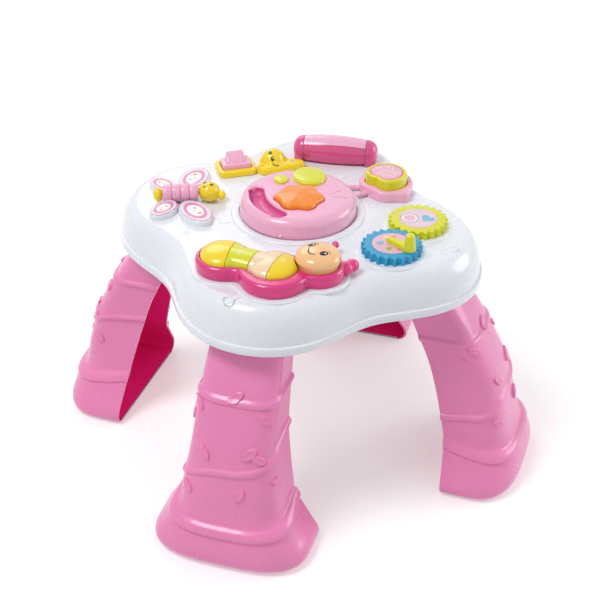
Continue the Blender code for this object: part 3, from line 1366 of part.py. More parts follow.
def make_barrel_cap(name, side, base):
    """A fixed end cap with the pin that the drum turns on."""
    face = DRUM_HALF + GAP * 2
    rim = BARREL_END_RADIUS
    mid = (face + BARREL_HALF) / 2
    cheek = ((rim + CAP_NOSE_RADIUS) / 2, (mid + BARREL_HALF) / 2)
    profile = [(0.0, BARREL_HALF), (CAP_NOSE_RADIUS, BARREL_HALF), cheek, (rim - DRUM_WALL / 2, mid), (rim, face),
               (DRUM_PIN_RADIUS, face), (DRUM_PIN_RADIUS, face - DRUM_PIN_LENGTH), (0.0, face - DRUM_PIN_LENGTH)]
    cap = turned("cap", profile, 20)
    if side < 0:
        moved(cap, Matrix.Rotation(math.pi, 4, "X"))
    cap = laid(cap)
    near = face + GAP
    far = BARREL_HALF - DRUM_WALL
    half = rim - GAP
    foot = [(side * x, y) for x, y in ((near, -half), (far, -rim / 2), (far, rim / 2), (near, half))]
    join(cap, prism("cap_foot", foot if side > 0 else list(reversed(foot)), -DRUM_WALL, BARREL_Z - DRUM_WALL))
    cut(cap, block("under_cap", (4 * BARREL_HALF, 4 * BARREL_RADIUS), -2 * BARREL_RADIUS, GAP))
    part(cap, name, "magenta_plastic", base)


# Apple

def apple_outline(radius, tip=0.0, sides=28):
    """A round outline with a dent, and a short leaf tip where one is asked for."""
    points = []
    for i in range(sides):
        angle = math.tau * i / sides
        dent = math.remainder(angle - APPLE_DENT_TURN, math.tau) / math.radians(26)
        leaf = math.remainder(angle - APPLE_TIP_TURN, math.tau) / math.radians(14)
        share = 1 - APPLE_DENT_SHARE * math.exp(-dent ** 2) + tip * math.exp(-leaf ** 2)
        points.append(polar(radius * share, angle))
    return points


def make_apple():
    base = frame_at(place(APPLE_PLACE_SHARE), DECK_Z)
    body = prism("apple", apple_outline(APPLE_RADIUS, APPLE_TIP_SHARE), GAP, APPLE_HEIGHT)
    round_top(body, LOBE_ROUND)
    for reach, turn in zip(PRONG_REACH_SHARES, PRONG_TURNS):
        lift = Vector((0.0, 0.0, PRONG_RADIUS + 2 * GAP))
        prong = rod("prong", polar(APPLE_RADIUS * LID_SWELL_SHARE * (1 - APPLE_DENT_SHARE), turn) + lift,
                    polar(APPLE_RADIUS * reach, turn) + lift, PRONG_RADIUS, 10)
        join(body, prong)
    pit = apple_outline(APPLE_BUTTON_RADIUS + SLIP)
    cut(body, prism("apple_pit", pit, APPLE_FLOOR, APPLE_HEIGHT + OVERRUN))
    part(body, "apple_base", "pink_plastic", base)
    button = prism("button", apple_outline(APPLE_BUTTON_RADIUS), APPLE_BUTTON_BOTTOM, APPLE_BUTTON_TOP)
    round_top(button, LOBE_ROUND)
    seat = apple_outline(APPLE_BUTTON_RADIUS * APPLE_INSERT_SHARE + GAP)
    under_insert = APPLE_BUTTON_TOP - APPLE_INSERT_THICK
    cut(button, prism("insert_seat", seat, under_insert - GAP, APPLE_BUTTON_TOP + OVERRUN))
    part(button, "apple_button", "lime_plastic", base)
    insert = prism("insert", apple_outline(APPLE_BUTTON_RADIUS * APPLE_INSERT_SHARE), under_insert,
                   APPLE_BUTTON_TOP)
    part(insert, "apple_insert", "glitter_insert", base)
    dome = spring_dome("dome", APPLE_FLOOR, APPLE_BUTTON_BOTTOM, (0.0, 0.0))
    part(dome, "apple_dome", "silicone", base)


# Gears

def gear_outline(turn, rise):
    """A waved outline with a tooth, or a gap where rise is -1, in one direction."""
    sides = GEAR_TEETH * GEAR_POINTS_PER_TOOTH
    return [polar(GEAR_RADIUS + rise * TOOTH_HALF * math.cos(GEAR_TEETH * (math.tau * i / sides - turn)),
                  math.tau * i / sides) for i in range(sides)]


def make_gear(name, finish, where, turn, rise):
    low = BORDER_HEIGHT + GAP
    base = frame_at(where, DECK_Z)
    gear = round_top(prism("gear", gear_outline(turn, rise), low, GEAR_TOP), LOBE_ROUND / 2, 1)
    cut(gear, drum("bore", POST_RADIUS + RUNNING_FIT, low - OVERRUN, GEAR_TOP + OVERRUN, 20))
    cut(gear, drum("cap_seat", CAP_RADIUS + SLIP, GEAR_TOP - CAP_THICK - 2 * GAP, GEAR_TOP + OVERRUN, 20))
    part(gear, name, finish, base)
    pivot(name + "_axis", base)
    cap = drum("cap", CAP_RADIUS, GEAR_TOP - CAP_THICK - GAP, GEAR_TOP - GAP, 20)
    part(cap, name + "_cap", "steel", base)


def make_gears():
    first, second = gear_places()
    make_gear("gear_turquoise", "turquoise_plastic", first, GEAR_LINE_TURN, 1)
    make_gear("gear_lime", "lime_plastic", second, GEAR_LINE_TURN + math.pi, -1)
    make_handle(frame_at(first, DECK_Z))


def make_handle(base):
    """A pointed plate from the gear's middle out to an upright knob near its rim."""
    low = GEAR_TOP + 2 * GAP
    out = polar(HANDLE_LENGTH, HANDLE_TURN)
    round_end = [out + polar(KNOB_RADIUS, HANDLE_TURN - math.pi / 2 + math.pi * i / 8) for i in range(9)]
    tip = polar(-HANDLE_TAIL_LENGTH, HANDLE_TURN)
    side = polar(KNOB_RADIUS / 3, HANDLE_TURN + math.pi / 2)
    plate = prism("handle_plate", [tip + side, tip - side] + round_end, low, low + HANDLE_PLATE)
    round_top(plate, LOBE_ROUND / 2, 1)
    knob_round = KNOB_TOP_RADIUS / 3
    crown = [(0.0, KNOB_TOP), (KNOB_TOP_RADIUS - knob_round, KNOB_TOP), (KNOB_TOP_RADIUS, KNOB_TOP - knob_round)]
    profile = crown + [(KNOB_RADIUS - MERGE, low + GAP), (0.0, low + GAP)]
    knob = at_place(turned("knob", profile, 20), out)
    join(plate, knob)
    part(plate, "crank_handle", "lime_plastic", base)


def main():
    clear_scene()
    make_top_shell()
    make_legs()
    make_screws()
    make_base_cover()
    make_battery_parts()
    make_boards()
    make_power_switch()
    make_lid()
    make_lid_trim()
    make_worm_base()
    make_keys()
    make_head_key()
    make_key_board()
    make_butterfly()
    make_switch()
    make_giraffe()
    make_barrel()
    make_apple()
    make_gears()
    for tool in list(CUTTERS.objects):
        bpy.data.objects.remove(tool, do_unlink=True)


main()
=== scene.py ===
"""Dresses the activity table: smooth shells, prints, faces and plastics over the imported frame."""
import math

import bmesh
import bpy
from mathutils import Matrix, Vector


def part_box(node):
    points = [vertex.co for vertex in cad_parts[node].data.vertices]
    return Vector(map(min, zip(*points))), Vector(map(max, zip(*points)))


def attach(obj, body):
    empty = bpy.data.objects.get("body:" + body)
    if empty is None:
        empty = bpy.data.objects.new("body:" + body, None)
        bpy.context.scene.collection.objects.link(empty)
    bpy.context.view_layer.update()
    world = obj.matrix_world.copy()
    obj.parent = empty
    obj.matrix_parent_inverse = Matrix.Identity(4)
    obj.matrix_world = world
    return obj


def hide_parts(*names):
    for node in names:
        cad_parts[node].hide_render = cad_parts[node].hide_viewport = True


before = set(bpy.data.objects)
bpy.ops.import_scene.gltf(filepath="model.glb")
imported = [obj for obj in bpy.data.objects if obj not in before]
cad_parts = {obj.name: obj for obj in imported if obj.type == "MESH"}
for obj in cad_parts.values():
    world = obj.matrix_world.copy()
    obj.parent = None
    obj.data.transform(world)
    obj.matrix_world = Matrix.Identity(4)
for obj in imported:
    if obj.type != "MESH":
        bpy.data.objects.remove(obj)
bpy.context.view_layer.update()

# Clearances and the overrun of cuts
GAP = 0.0003
SLIP = 0.0006
RUNNING_FIT = 0.0001

# Top shell
RIM_RADIUS = 0.200
RIM_LOBE_SHARE = 0.119
RIM_FLAT_SHARE = 0.010
RIM_X_SHARE = 0.952
RIM_Z = 0.2412
LIP_HEIGHT = 0.0098
LIP_PROUD = 0.003
SKIRT_INSET = 0.0244
SKIRT_RISE = 0.0393
LIP_STEP = 0.00225
DECK_Z = RIM_Z + LIP_HEIGHT + LIP_STEP + SKIRT_RISE

# Raised marks on the deck
BORDER_HEIGHT = 0.002
BORDER_WIDTH = 0.0055
WING_HEIGHT = 0.007

# Lid, its well and its hinge
LID_PLACE_SHARE = (0.01, 0.01)
LID_TURN = math.radians(10)
LID_RADIUS = 0.0665
LID_LIFT = 0.0015
LID_SHOULDER = 0.020
LID_TOP = 0.0235
LID_WALL = 0.0025
RING_GAP = 0.001
RING_WIDTH = 0.0095
RING_HEIGHT = 0.0025
LID_OVERLAP = 0.0035
WELL_RADIUS = LID_RADIUS - LID_OVERLAP
WELL_DEPTH = 0.018
HINGE_INSET = 0.008
HINGE_X = LID_RADIUS - HINGE_INSET
HINGE_Z = 0.008
HINGE_EYE_RADIUS = 0.003
HINGE_LEAF = 0.004
HINGE_SPREAD = 0.005
HINGE_ARM_LENGTH = 0.0145
HINGE_POST_X = HINGE_X - HINGE_ARM_LENGTH
HINGE_POST_THICK = 0.005
NOTCH_CLEARANCE = 0.0005
NOTCH_X = LID_RADIUS + NOTCH_CLEARANCE
NOTCH_HALF = 0.031
NOTCH_DEPTH = 0.0035

# Lid's thumb recess, flower button and leaves
RECESS_LENGTH = 0.076
RECESS_HALF = 0.0088
RECESS_BEND_SHARE = 0.18
RECESS_DEPTH = 0.0105
RECESS_CLEARANCE = 0.0013
RECESS_WAY = math.radians(151.8)
RECESS_TURN = math.radians(78.6)
FLOWER_RADIUS = 0.0262
FLOWER_LOBES = 6
FLOWER_LOBE_SHARE = 0.075
FLOWER_PLACE_SHARE = (-0.09, -0.15)
FLOWER_TOP = 0.031
FLOWER_FLOOR = 0.007
FLOWER_TRAVEL = 0.003
FLOWER_BOTTOM = FLOWER_FLOOR + FLOWER_TRAVEL + SLIP
LEAF_CLEARANCE = 0.0033
LEAF_WAY = math.radians(40)
LEAF_HALF = (0.0190, 0.0215)
LEAF_TURN = math.radians(-20)
LEAF_HEIGHT = 0.0055
SMALL_LEAF_PLACE_SHARE = (0.05, 0.56)
SMALL_LEAF_HALF = (0.0085, 0.0105)
SMALL_LEAF_HEIGHT = 0.004

# Legs, in a frame with u along the leg's own radius and v across it
LEG_TURNS = {"front": math.radians(225.7), "left": math.radians(134.3),
             "rear": math.radians(45.7), "right": math.radians(314.3)}
LEG_TOP = 0.270
LEG_WALL = 0.003
LEG_SPLAY = 0.088
LEG_REACH = RIM_RADIUS + LEG_SPLAY
LEG_OUTER_SHARES = ((0.0, 0.969), (0.007, 0.979), (0.03, 0.997), (0.067, 1.0), (0.111, 0.990),
                    (0.167, 0.969), (0.222, 0.944), (0.341, 0.917), (0.467, 0.885), (0.537, 0.858),
                    (0.648, 0.802), (0.770, 0.733), (0.893, 0.653), (1.0, 0.575))
LEG_INNER_SHARES = ((0.0, 0.712), (0.111, 0.705), (0.230, 0.691), (0.352, 0.663), (0.470, 0.632),
                    (0.593, 0.594), (0.756, 0.524), (0.893, 0.472), (1.0, 0.432))
LEG_HALF = 0.089
LEG_HALF_SHARES = ((0.0, 0.90), (0.007, 0.944), (0.03, 1.0), (0.067, 0.989), (0.111, 0.90), (0.167, 0.787),
                   (0.222, 0.674), (0.278, 0.640), (0.352, 0.596), (0.496, 0.528), (0.689, 0.494),
                   (0.893, 0.449), (1.0, 0.421))
LEG_FRONT_ROUND_SHARES = ((0.0, 0.70), (0.167, 0.70), (0.35, 0.45), (1.0, 0.42))
LEG_FRONT_POWER = 3.0
RIDGE_PROUD = 0.003
RIDGE_HALF = 0.0045
RIDGE_UPPER_Z = 0.184
RIDGE_LOWER_Z = 0.113
RIDGE_LOWER_TILT = 0.025
BAND_PROUD = 0.0045
BAND_HALF = 0.0065
BAND_Z = 0.058
BAND_DIP = 0.012

# Worm: its middle lobe is at its place, the others a step away along the spine
WORM_PLACE_SHARE = (-0.445, -0.610)
TAIL_LOBE = 0.031
MIDDLE_LOBE = 0.037
HEAD_LOBE = 0.028
BODY_PITCH = 0.061
HEAD_PITCH = 0.0474
TAIL_TURN = math.radians(125)
HEAD_TURN = math.radians(-14)
BODY_NECK = 0.0215
BODY_HEIGHT = 0.0175
LOBE_ROUND = 0.0026
TAIL_MARGIN = 0.0055
MIDDLE_MARGIN = 0.0105
KEY_OFFSET_SHARE = (0.05, 0.13)
KEY_NECK = 0.0175
KEY_TOP = 0.0275
KEY_BOTTOM = 0.0090
KEY_TRAVEL = 0.003
KEY_CUT_SHARES = (0.866, 0.395, -0.013)
KEY_CUT_TURNS = (math.radians(48), math.radians(34), math.radians(38))
HEAD_KEY_SKIRT = 0.0228
HEAD_KEY_RADIUS = 0.0245
HEAD_KEY_TOP = 0.036
FEELER_RADIUS = 0.0042
FEELER_SHARE = (1.43, 1.30)
FEELER_ROOT_SHARE = (0.72, 0.62)
FEELER_HEIGHT = 0.010
FEELER_STEM = 0.0026
BOW_RADII = (0.0090, 0.0078)
BOW_SHARES = ((1.14, -0.41), (1.54, -0.34))
BOW_HEIGHT = 0.014

# Butterfly, with its roller along its own X axis
BUTTERFLY_PLACE_SHARE = (-0.538, 0.428)
BUTTERFLY_TURN = math.radians(-22)
ROLLER_RADIUS = 0.0104
ROLLER_GROOVE = 0.0014
ROLLER_LENGTH = 0.0400
ROLLER_RIBS = 4
ROLLER_Z = 0.0112
AXLE_RADIUS = 0.002
INSECT_HEAD = (0.0125, 0.0130, 0.0115)
INSECT_HEAD_X = 0.0330
INSECT_TAIL = (0.0080, 0.0085, 0.0112)
INSECT_TAIL_X = -0.0260
HORN = (0.0045, 0.0070, 0.0055)
HORN_X = 0.0475
HORN_Y = -0.0040
HORN_Z = 0.0080
WING_LARGE = (0.0270, 0.0160)
WING_LARGE_AT = (0.0160, 0.0430)
WING_LARGE_TURN = math.radians(65)
WING_SMALL = (0.0200, 0.0125)
WING_SMALL_AT = (-0.0200, 0.0310)
WING_SMALL_TURN = math.radians(128)

# Push block in its tray
TRAY_PLACE_SHARE = (-0.095, 0.632)
TRAY_TURN = math.radians(-12)
TRAY_SIZE = (0.046, 0.036)
TRAY_HEIGHT = 0.008
TRAY_CORNER = 0.007
TRAY_FLOOR = 0.002
BLOCK_SIZE = (0.034, 0.022)
BLOCK_STEP = 0.0135
BLOCK_TOP = 0.024
BLOCK_TRAVEL = 0.003
BLOCK_BOTTOM = TRAY_FLOOR + BLOCK_TRAVEL + SLIP
HUMP_SIZE = (0.0250, 0.0150)
HUMP_TOP_SIZE = (0.0200, 0.0060)
HUMP_BACK = 0.0035

# Giraffe ornament lying beside the tray
GIRAFFE_PLACE_SHARE = (0.150, 0.535)
GIRAFFE_LENGTH = 0.058
GIRAFFE_HEIGHT = 0.009
GIRAFFE_OUTLINE_SHARES = ((-0.45, 0.10), (-0.45, -0.13), (-0.20, -0.21), (0.10, -0.22), (0.38, -0.24),
                          (0.50, -0.18), (0.47, -0.05), (0.30, 0.10), (0.18, 0.30), (-0.02, 0.38),
                          (-0.22, 0.32))
GIRAFFE_HEAD = (0.0165, 0.0150, 0.0190)
GIRAFFE_HEAD_SHARE = (-0.08, 0.14)
GIRAFFE_MUZZLE = (0.0130, 0.0090, 0.0130)
GIRAFFE_MUZZLE_SHARE = (-0.16, -0.06)
GIRAFFE_EAR_SHARES = ((-0.14, 0.34), (-0.42, 0.02))
GIRAFFE_EAR = (0.0055, 0.0050, 0.0120)

# Bead barrel along its own X axis, sunk into a trough in the deck
BARREL_PLACE_SHARE = (0.505, 0.485)
BARREL_TURN = math.radians(-37)
BARREL_Z = 0.013
BARREL_RADIUS = 0.018
BARREL_END_RADIUS = 0.0155
BARREL_HALF = 0.0515
CAP_LENGTH = 0.014
DRUM_HALF = BARREL_HALF - CAP_LENGTH
DRUM_WALL = 0.002
DRUM_PIN_RADIUS = 0.003
DRUM_PIN_LENGTH = 0.005
WINDOW_TILT = math.radians(-23)
WINDOW_CUT = 0.003
TROUGH_SLIP = 0.0012
BEAD_RADIUS = 0.004

# Apple with a push button
APPLE_PLACE_SHARE = (0.585, 0.010)
APPLE_DENT_TURN = math.radians(198)
APPLE_RADIUS = 0.0315
APPLE_DENT_SHARE = 0.14
APPLE_HEIGHT = 0.0125
APPLE_TIP_SHARE = 0.22
APPLE_TIP_TURN = math.radians(-80)
APPLE_BUTTON_RADIUS = 0.0245
APPLE_BUTTON_TOP = 0.024
APPLE_FLOOR = 0.003
APPLE_TRAVEL = 0.003
APPLE_BUTTON_BOTTOM = APPLE_FLOOR + APPLE_TRAVEL + SLIP
APPLE_INSERT_THICK = 0.0007
PRONG_RADIUS = 0.0032
PRONG_REACH_SHARES = (1.42, 1.20)
PRONG_TURNS = (math.radians(154), math.radians(184))

# Gears and the crank handle
GEAR_PLACE_SHARE = (0.26, -0.62)
GEAR_TEETH = 22
GEAR_RADIUS = 0.0315
TOOTH_HALF = 0.0021
GEAR_PLAY = 0.0009
GEAR_LINE_TURN = math.radians(32.7)
GEAR_TOP = 0.0115
POST_RADIUS = 0.004
CAP_RADIUS = 0.0075
CAP_THICK = 0.0015
HANDLE_TURN = math.radians(-66)
HANDLE_LENGTH = 0.0235
HANDLE_TAIL_LENGTH = 0.006
HANDLE_PLATE = 0.0055
KNOB_RADIUS = 0.0068
KNOB_TOP_RADIUS = 0.0052
KNOB_TOP = 0.0315

# What is drawn a little otherwise than the solids, and how shapes are laid
SHELL_WALL = 0.0025
ROOM = 0.1
SOLE_EDGE = 0.0012
WORM_EDGE = 0.0052
KEY_EDGE = 0.0010
KEY_OUTLINE_STEP = 0.0011
SMALL_LEAF_TIP_TURN = math.radians(250)
LID_PIP = (0.0030, 0.0026, 0.0026)
BROW_RISE = 0.0058
BROW_HALF = 0.0032
BROW_BEND = 0.0008
GLINT_LIFT = 0.00022
WING_DASH = (0.0009, 0.0005)
MELT_SIZE = 0.0006
TRACE_STEP = 0.0014
LID_SIDE_Z = 0.0125
LID_SIDE_SHARE = 0.985
LID_FLAT_SHARE = 0.80
STICKER_RADIUS = 0.0215
TOOTH_POWER = 0.8
GIRAFFE_EYE = (0.0019, 0.0026)
INSECT_EYE = (0.0017, 0.0024)
HEAD_EYE = (0.0034, 0.0047)
SUNK = -0.001
PAD_STEP = 0.0016
WING_EDGE = 0.0035
WORM_MELT = 0.0022
GEAR_MELT = 0.002
DOODLE_HALF = 0.0008
PRINT_LIFT = 0.00012
LEAF_RELIEF = 0.0028
BOW_NEARER = 0.84
WING_NEARER = 0.84
LEG_TRIM = 0.0014
SHOWN_WINDOW_HALF = DRUM_HALF - 0.0003
SHOWN_TURN = 0.22
MORE_DENT = 0.16
SHOWN_HEAD = (GIRAFFE_HEAD[0] * 1.08, GIRAFFE_HEAD[1] * 1.08, GIRAFFE_HEAD[2] * 1.22)
SHOWN_INSERT_SHARE = 0.80

# Moulded drawings and prints: places on the deck, or in a toy's own frame
LEAF_RELIEF_SHARES = ((1.0, -0.3), (0.98, 0.6), (0.90, 0.95), (0.7, 1.0), (0.35, 0.75), (0.05, 0.6))
LEG_LEAVES = ((0.02, 0.190, 0.5, 0.0095), (-0.55, 0.160, 1.9, 0.0080), (0.36, 0.171, -0.7, 0.0080),
              (0.23, 0.138, 0.6, 0.0100), (0.32, 0.132, -0.5, 0.0090), (-0.24, 0.132, 2.3, 0.0085),
              (0.16, 0.092, 0.9, 0.0090), (-0.39, 0.087, 2.5, 0.0080), (-0.40, 0.176, 2.4, 0.0085),
              (0.55, 0.102, -0.4, 0.0080))
DOODLE_RINGS = (((-0.1463, -0.1302), 0.0062), ((0.0878, 0.0532), 0.0038), ((0.0818, -0.0230), 0.0036),
                ((0.1045, -0.1494), 0.0045), ((-0.1300, 0.0150), 0.0030), ((0.0900, -0.0290), 0.0024))
DOODLE_LINES = (((-0.0810, 0.0489), (-0.0900, 0.0440), (-0.0930, 0.0340), (-0.0860, 0.0280),
                 (-0.0880, 0.0180), (-0.0752, 0.0150)),
                ((0.0740, -0.0230), (0.0720, -0.0160), (0.0780, -0.0110)),
                ((0.1100, -0.1430), (0.1180, -0.1440), (0.1230, -0.1500), (0.1160, -0.1530),
                 (0.1090, -0.1510)),
                ((-0.1400, -0.1260), (-0.1340, -0.1220), (-0.1290, -0.1260), (-0.1340, -0.1320),
                 (-0.1400, -0.1320)),
                ((0.0920, 0.0560), (0.0970, 0.0600), (0.1010, 0.0560), (0.0980, 0.0510)),
                ((-0.0330, 0.0960), (-0.0270, 0.0990), (-0.0220, 0.0950), (-0.0260, 0.0890),
                 (-0.0330, 0.0880)))
LID_STROKES = (((0.0290, -0.0240), (0.0360, -0.0225), (0.0430, -0.0225)),
               ((0.0270, -0.0290), (0.0330, -0.0340), (0.0380, -0.0400)))
LID_PIP_TURN = math.radians(-144)
KEY_MARKS = {2: (((-0.1130, -0.0900), 0.0052, 0.4),), 4: (((-0.0795, -0.1240), 0.0046, 0.2),)}
HEAD_EYES = ((0.0010, -0.0105), (-0.0020, 0.0105))
HEAD_FACE_TURN = math.radians(-97)
HEAD_SMILE = ((-0.0080, -0.0085), (-0.0120, -0.0030), (-0.0105, 0.0030), (-0.0065, 0.0065))
INSECT_FACING = (-0.25, -0.25, 1.0)
INSECT_EYES = ((0.0045, 0.0035), (-0.0045, 0.0020))
INSECT_SMILE = ((-0.0030, -0.0030), (-0.0005, -0.0045), (0.0025, -0.0030))
WING_SPOTS = ((0.28, 0.10, 0.10, 1), (0.02, -0.08, 0.09, 2), (-0.20, 0.12, 0.07, 0))
GIRAFFE_FACING = (-0.35, -0.45, 1.0)
GIRAFFE_EYES = ((-0.0020, 0.0050), (0.0018, -0.0022))
GIRAFFE_SMILE = ((-0.0010, 0.0035), (0.0025, 0.0012), (0.0068, 0.0030))
GIRAFFE_TRIANGLES = (((0.0120, -0.0060), (0.0175, -0.0075), (0.0155, -0.0015)),)
GEAR_DISC_PLACE = (-0.0085, 0.0045)
GEAR_HEART_PLACE = (0.0085, -0.0060)
GEAR_HEARTS = (((0.0015, -0.0140), 0.0034, 0.6), ((0.0130, -0.0040), 0.0026, -0.4))

# Camera, lamps and floor
CAMERA_ANGLES = (-26.841, 33.283)
CAMERA_TARGET = (0.0, 0.0, 0.16323)
CAMERA_DISTANCE = 1.6835
CAMERA_LENS = 84.864
CAMERA_SHIFT = (0.00423, 0.01303)
LAMPS = (("key_lamp", (-1.3, -0.1, 2.5), 1.0, 28.0), ("fill_lamp", (2.1, -0.6, 0.9), 1.3, 15.0),
         ("back_lamp", (0.3, 2.2, 1.9), 1.4, 9.0))
FLOOR_GLOW = 0.33
WORLD_LIGHT = 0.46


# Materials

def linear(red, green, blue):
    """A colour as seen on a screen, 0 to 255, as the light that it reflects."""
    return tuple(((v / 255 + 0.055) / 1.055) ** 2.4 if v > 10 else v / 255 / 12.92
                 for v in (red, green, blue))


def shaded(colour, factor):
    return tuple(min(1.0, c * factor) for c in colour)


def new_material(name):
    made = bpy.data.materials.new(name)
    made.use_nodes = True
    return made, made.node_tree.nodes, made.node_tree.links, made.node_tree.nodes["Principled BSDF"]


def noise(nodes, links, scale):
    where = nodes.new("ShaderNodeTexCoord")
    made = nodes.new("ShaderNodeTexNoise")
    made.inputs["Scale"].default_value = scale
    links.new(where.outputs["Object"], made.inputs["Vector"])
    return made


def spread(nodes, links, source, low, high):
    """Spreads a noise value over a range."""
    step = nodes.new("ShaderNodeMapRange")
    step.inputs["From Min"].default_value = 0.3
    step.inputs["From Max"].default_value = 0.7
    step.inputs["To Min"].default_value = low
    step.inputs["To Max"].default_value = high
    links.new(source, step.inputs["Value"])
    return step.outputs["Result"]


def toned(nodes, links, source, shader, colours, spots=(0.0, 1.0)):
    """Colours a material between two colours by a value."""
    ramp = nodes.new("ShaderNodeValToRGB")
    for element, spot, colour in zip(ramp.color_ramp.elements, spots, colours):
        element.position = spot
        element.color = (*colour, 1)
    links.new(source, ramp.inputs["Fac"])
    links.new(ramp.outputs["Color"], shader.inputs["Base Color"])


def plastic(name, colour, rough=0.30, coat=0.25, depth=0.04, grain=0.003):
    """Moulded plastic: a faint cloudiness, uneven gloss and a fine moulded grain."""
    made, nodes, links, shader = new_material(name)
    toned(nodes, links, noise(nodes, links, 14).outputs["Fac"], shader,
          (shaded(colour, 1 - depth), shaded(colour, 1 + depth)), (0.3, 0.7))
    links.new(spread(nodes, links, noise(nodes, links, 160).outputs["Fac"], rough - 0.03, rough + 0.05),
              shader.inputs["Roughness"])
    bump = nodes.new("ShaderNodeBump")
    bump.inputs["Strength"].default_value = grain
    bump.inputs["Distance"].default_value = 0.0004
    links.new(noise(nodes, links, 2500).outputs["Fac"], bump.inputs["Height"])
    links.new(bump.outputs["Normal"], shader.inputs["Normal"])
    shader.inputs["Coat Weight"].default_value = coat
    shader.inputs["Coat Roughness"].default_value = 0.07
    return made


def ink(name, red, green, blue, depth=0.03):
    """A printed colour, duller than the plastic under it."""
    return plastic(name, linear(red, green, blue), 0.38, 0.1, depth)


def tinted_window(name, colour):
    made = plastic(name, colour, 0.10, 0.5, 0.03, 0.0)
    made.node_tree.nodes["Principled BSDF"].inputs["Transmission Weight"].default_value = 0.30
    return made


def brushed(name, colour):
    made, nodes, links, shader = new_material(name)
    shader.inputs["Metallic"].default_value = 1.0
    toned(nodes, links, noise(nodes, links, 300).outputs["Fac"], shader, (shaded(colour, 0.85), colour))
    links.new(spread(nodes, links, noise(nodes, links, 700).outputs["Fac"], 0.25, 0.4),
              shader.inputs["Roughness"])
    return made


def glitter(name, colour, flake):
    """Pale plastic with fine bright flakes."""
    made, nodes, links, shader = new_material(name)
    where = nodes.new("ShaderNodeTexCoord")
    cells = nodes.new("ShaderNodeTexVoronoi")
    cells.inputs["Scale"].default_value = 900
    links.new(where.outputs["Object"], cells.inputs["Vector"])
    toned(nodes, links, cells.outputs["Color"], shader, (colour, flake), (0.55, 0.85))
    links.new(spread(nodes, links, cells.outputs["Distance"], 0.15, 0.4), shader.inputs["Roughness"])
    shader.inputs["Coat Weight"].default_value = 0.4
    return made


WHITE = plastic("white_gloss", linear(240, 244, 251), 0.28, 0.35, 0.012)
PINK = plastic("pink_gloss", linear(248, 184, 214), 0.26, 0.4, 0.02)
LEG_PINK = plastic("leg_pink", linear(245, 138, 192), 0.30, 0.3, 0.03)
# Painted shade: the hollow legs' inner faces get a deeper magenta than the outer faces of the same pink
# plastic.
LEG_INSIDE_SHADE = plastic("leg_inside_shade", linear(252, 44, 150), 0.36, 0.25, 0.04)
MAGENTA = plastic("magenta_gloss", linear(230, 36, 130), 0.22, 0.5, 0.04)
ROSE = plastic("rose_gloss", linear(228, 74, 146), 0.22, 0.5, 0.04)
LIME = plastic("lime_gloss", linear(226, 226, 10), 0.22, 0.4, 0.02)
YELLOW = plastic("yellow_gloss", linear(255, 222, 4), 0.20, 0.4, 0.02)
ORANGE = plastic("orange_gloss", linear(252, 140, 4), 0.24, 0.3, 0.02)
PEACH = plastic("peach_gloss", linear(252, 222, 184), 0.22, 0.45, 0.02)
HEAD_PEACH = plastic("head_peach", linear(255, 200, 140), 0.20, 0.5, 0.02)
TURQUOISE = plastic("turquoise_gloss", linear(0, 158, 208), 0.22, 0.4, 0.03)
WINDOW = tinted_window("window_clear", linear(250, 92, 158))
GLITTER = glitter("glitter_pink", linear(240, 178, 196), linear(255, 236, 240))
BLACK = plastic("black_ink", linear(18, 14, 14), 0.45, 0.0, 0.05)
WHITE_INK = plastic("white_ink", linear(250, 250, 250), 0.35, 0.1, 0.01)
PINK_INK = ink("pink_ink", 240, 130, 178)
PALE_PINK_INK = ink("pale_pink_ink", 244, 190, 210)
BLUE_INK = ink("blue_ink", 120, 178, 230)
ORANGE_INK = ink("orange_ink", 248, 168, 84)
GREEN_INK = ink("green_ink", 132, 196, 60)
PALE_BLUE_INK = ink("pale_blue_ink", 222, 232, 246, 0.02)
PALE_LILAC_INK = ink("pale_lilac_ink", 236, 214, 226)
PALE_YELLOW_INK = ink("pale_yellow_ink", 252, 232, 150, 0.02)
PALE_LIME_INK = plastic("pale_lime_ink", linear(228, 234, 150), 0.32, 0.2, 0.02)
GREY_INK = ink("grey_ink", 150, 150, 158)
BLUE_MARK = plastic("blue_mark", linear(130, 196, 226), 0.36, 0.1, 0.03)
ROSE_PINK = plastic("rose_pink", linear(248, 186, 214), 0.28, 0.35, 0.02)
# Painted shade: the faces down in the lid's thumb recess get a deeper pink than the rest of the lid.
RECESS_SHADE_PINK = plastic("recess_shade_pink", linear(226, 96, 160), 0.36, 0.2, 0.03)
CELL = plastic("cell_wrap", (0.05, 0.05, 0.06), 0.35, 0.2, 0.1)
WING_INKS = (BLUE_INK, ORANGE_INK, PALE_YELLOW_INK)
WING_BANDS = ((0.92, PINK_INK), (0.88, WHITE_INK), (0.84, PALE_BLUE_INK), (0.68, PINK_INK), (0.50, WHITE_INK))
KEY_MARK_INKS = {2: PALE_LIME_INK, 4: PALE_YELLOW_INK}
GEAR_FLOWERS = (((-0.0085, -0.0085), 0.0042, GREEN_INK, 0.3), ((0.0090, 0.0105), 0.0040, ORANGE_INK, 0.9))
BEAD_LOOKS = ((YELLOW, "yellow_plastic"), (ORANGE, "orange_plastic"), (TURQUOISE, "turquoise_plastic"))
STEEL = brushed("plain_steel", (0.62, 0.62, 0.64))
BOARD = plastic("board_green", (0.02, 0.20, 0.08), 0.5, 0.0, 0.1)
DARK = plastic("dark_part", (0.03, 0.03, 0.035), 0.5, 0.0, 0.1)
SILICONE = plastic("silicone_grey", (0.75, 0.75, 0.76), 0.6, 0.0, 0.03)
MIRROR = brushed("mirror_film", (0.92, 0.92, 0.94))


# Shapes

def polar(radius, angle):
    return Vector((radius * math.cos(angle), radius * math.sin(angle), 0.0))


def raised(height):
    return Vector((0.0, 0.0, height))


def level(point):
    """A flat (x, y) pair as a point."""
    return Vector((*point, 0.0))


def quarter(steps):
    """Angles over a quarter turn."""
    return [math.pi / 2 * i / steps for i in range(steps + 1)]


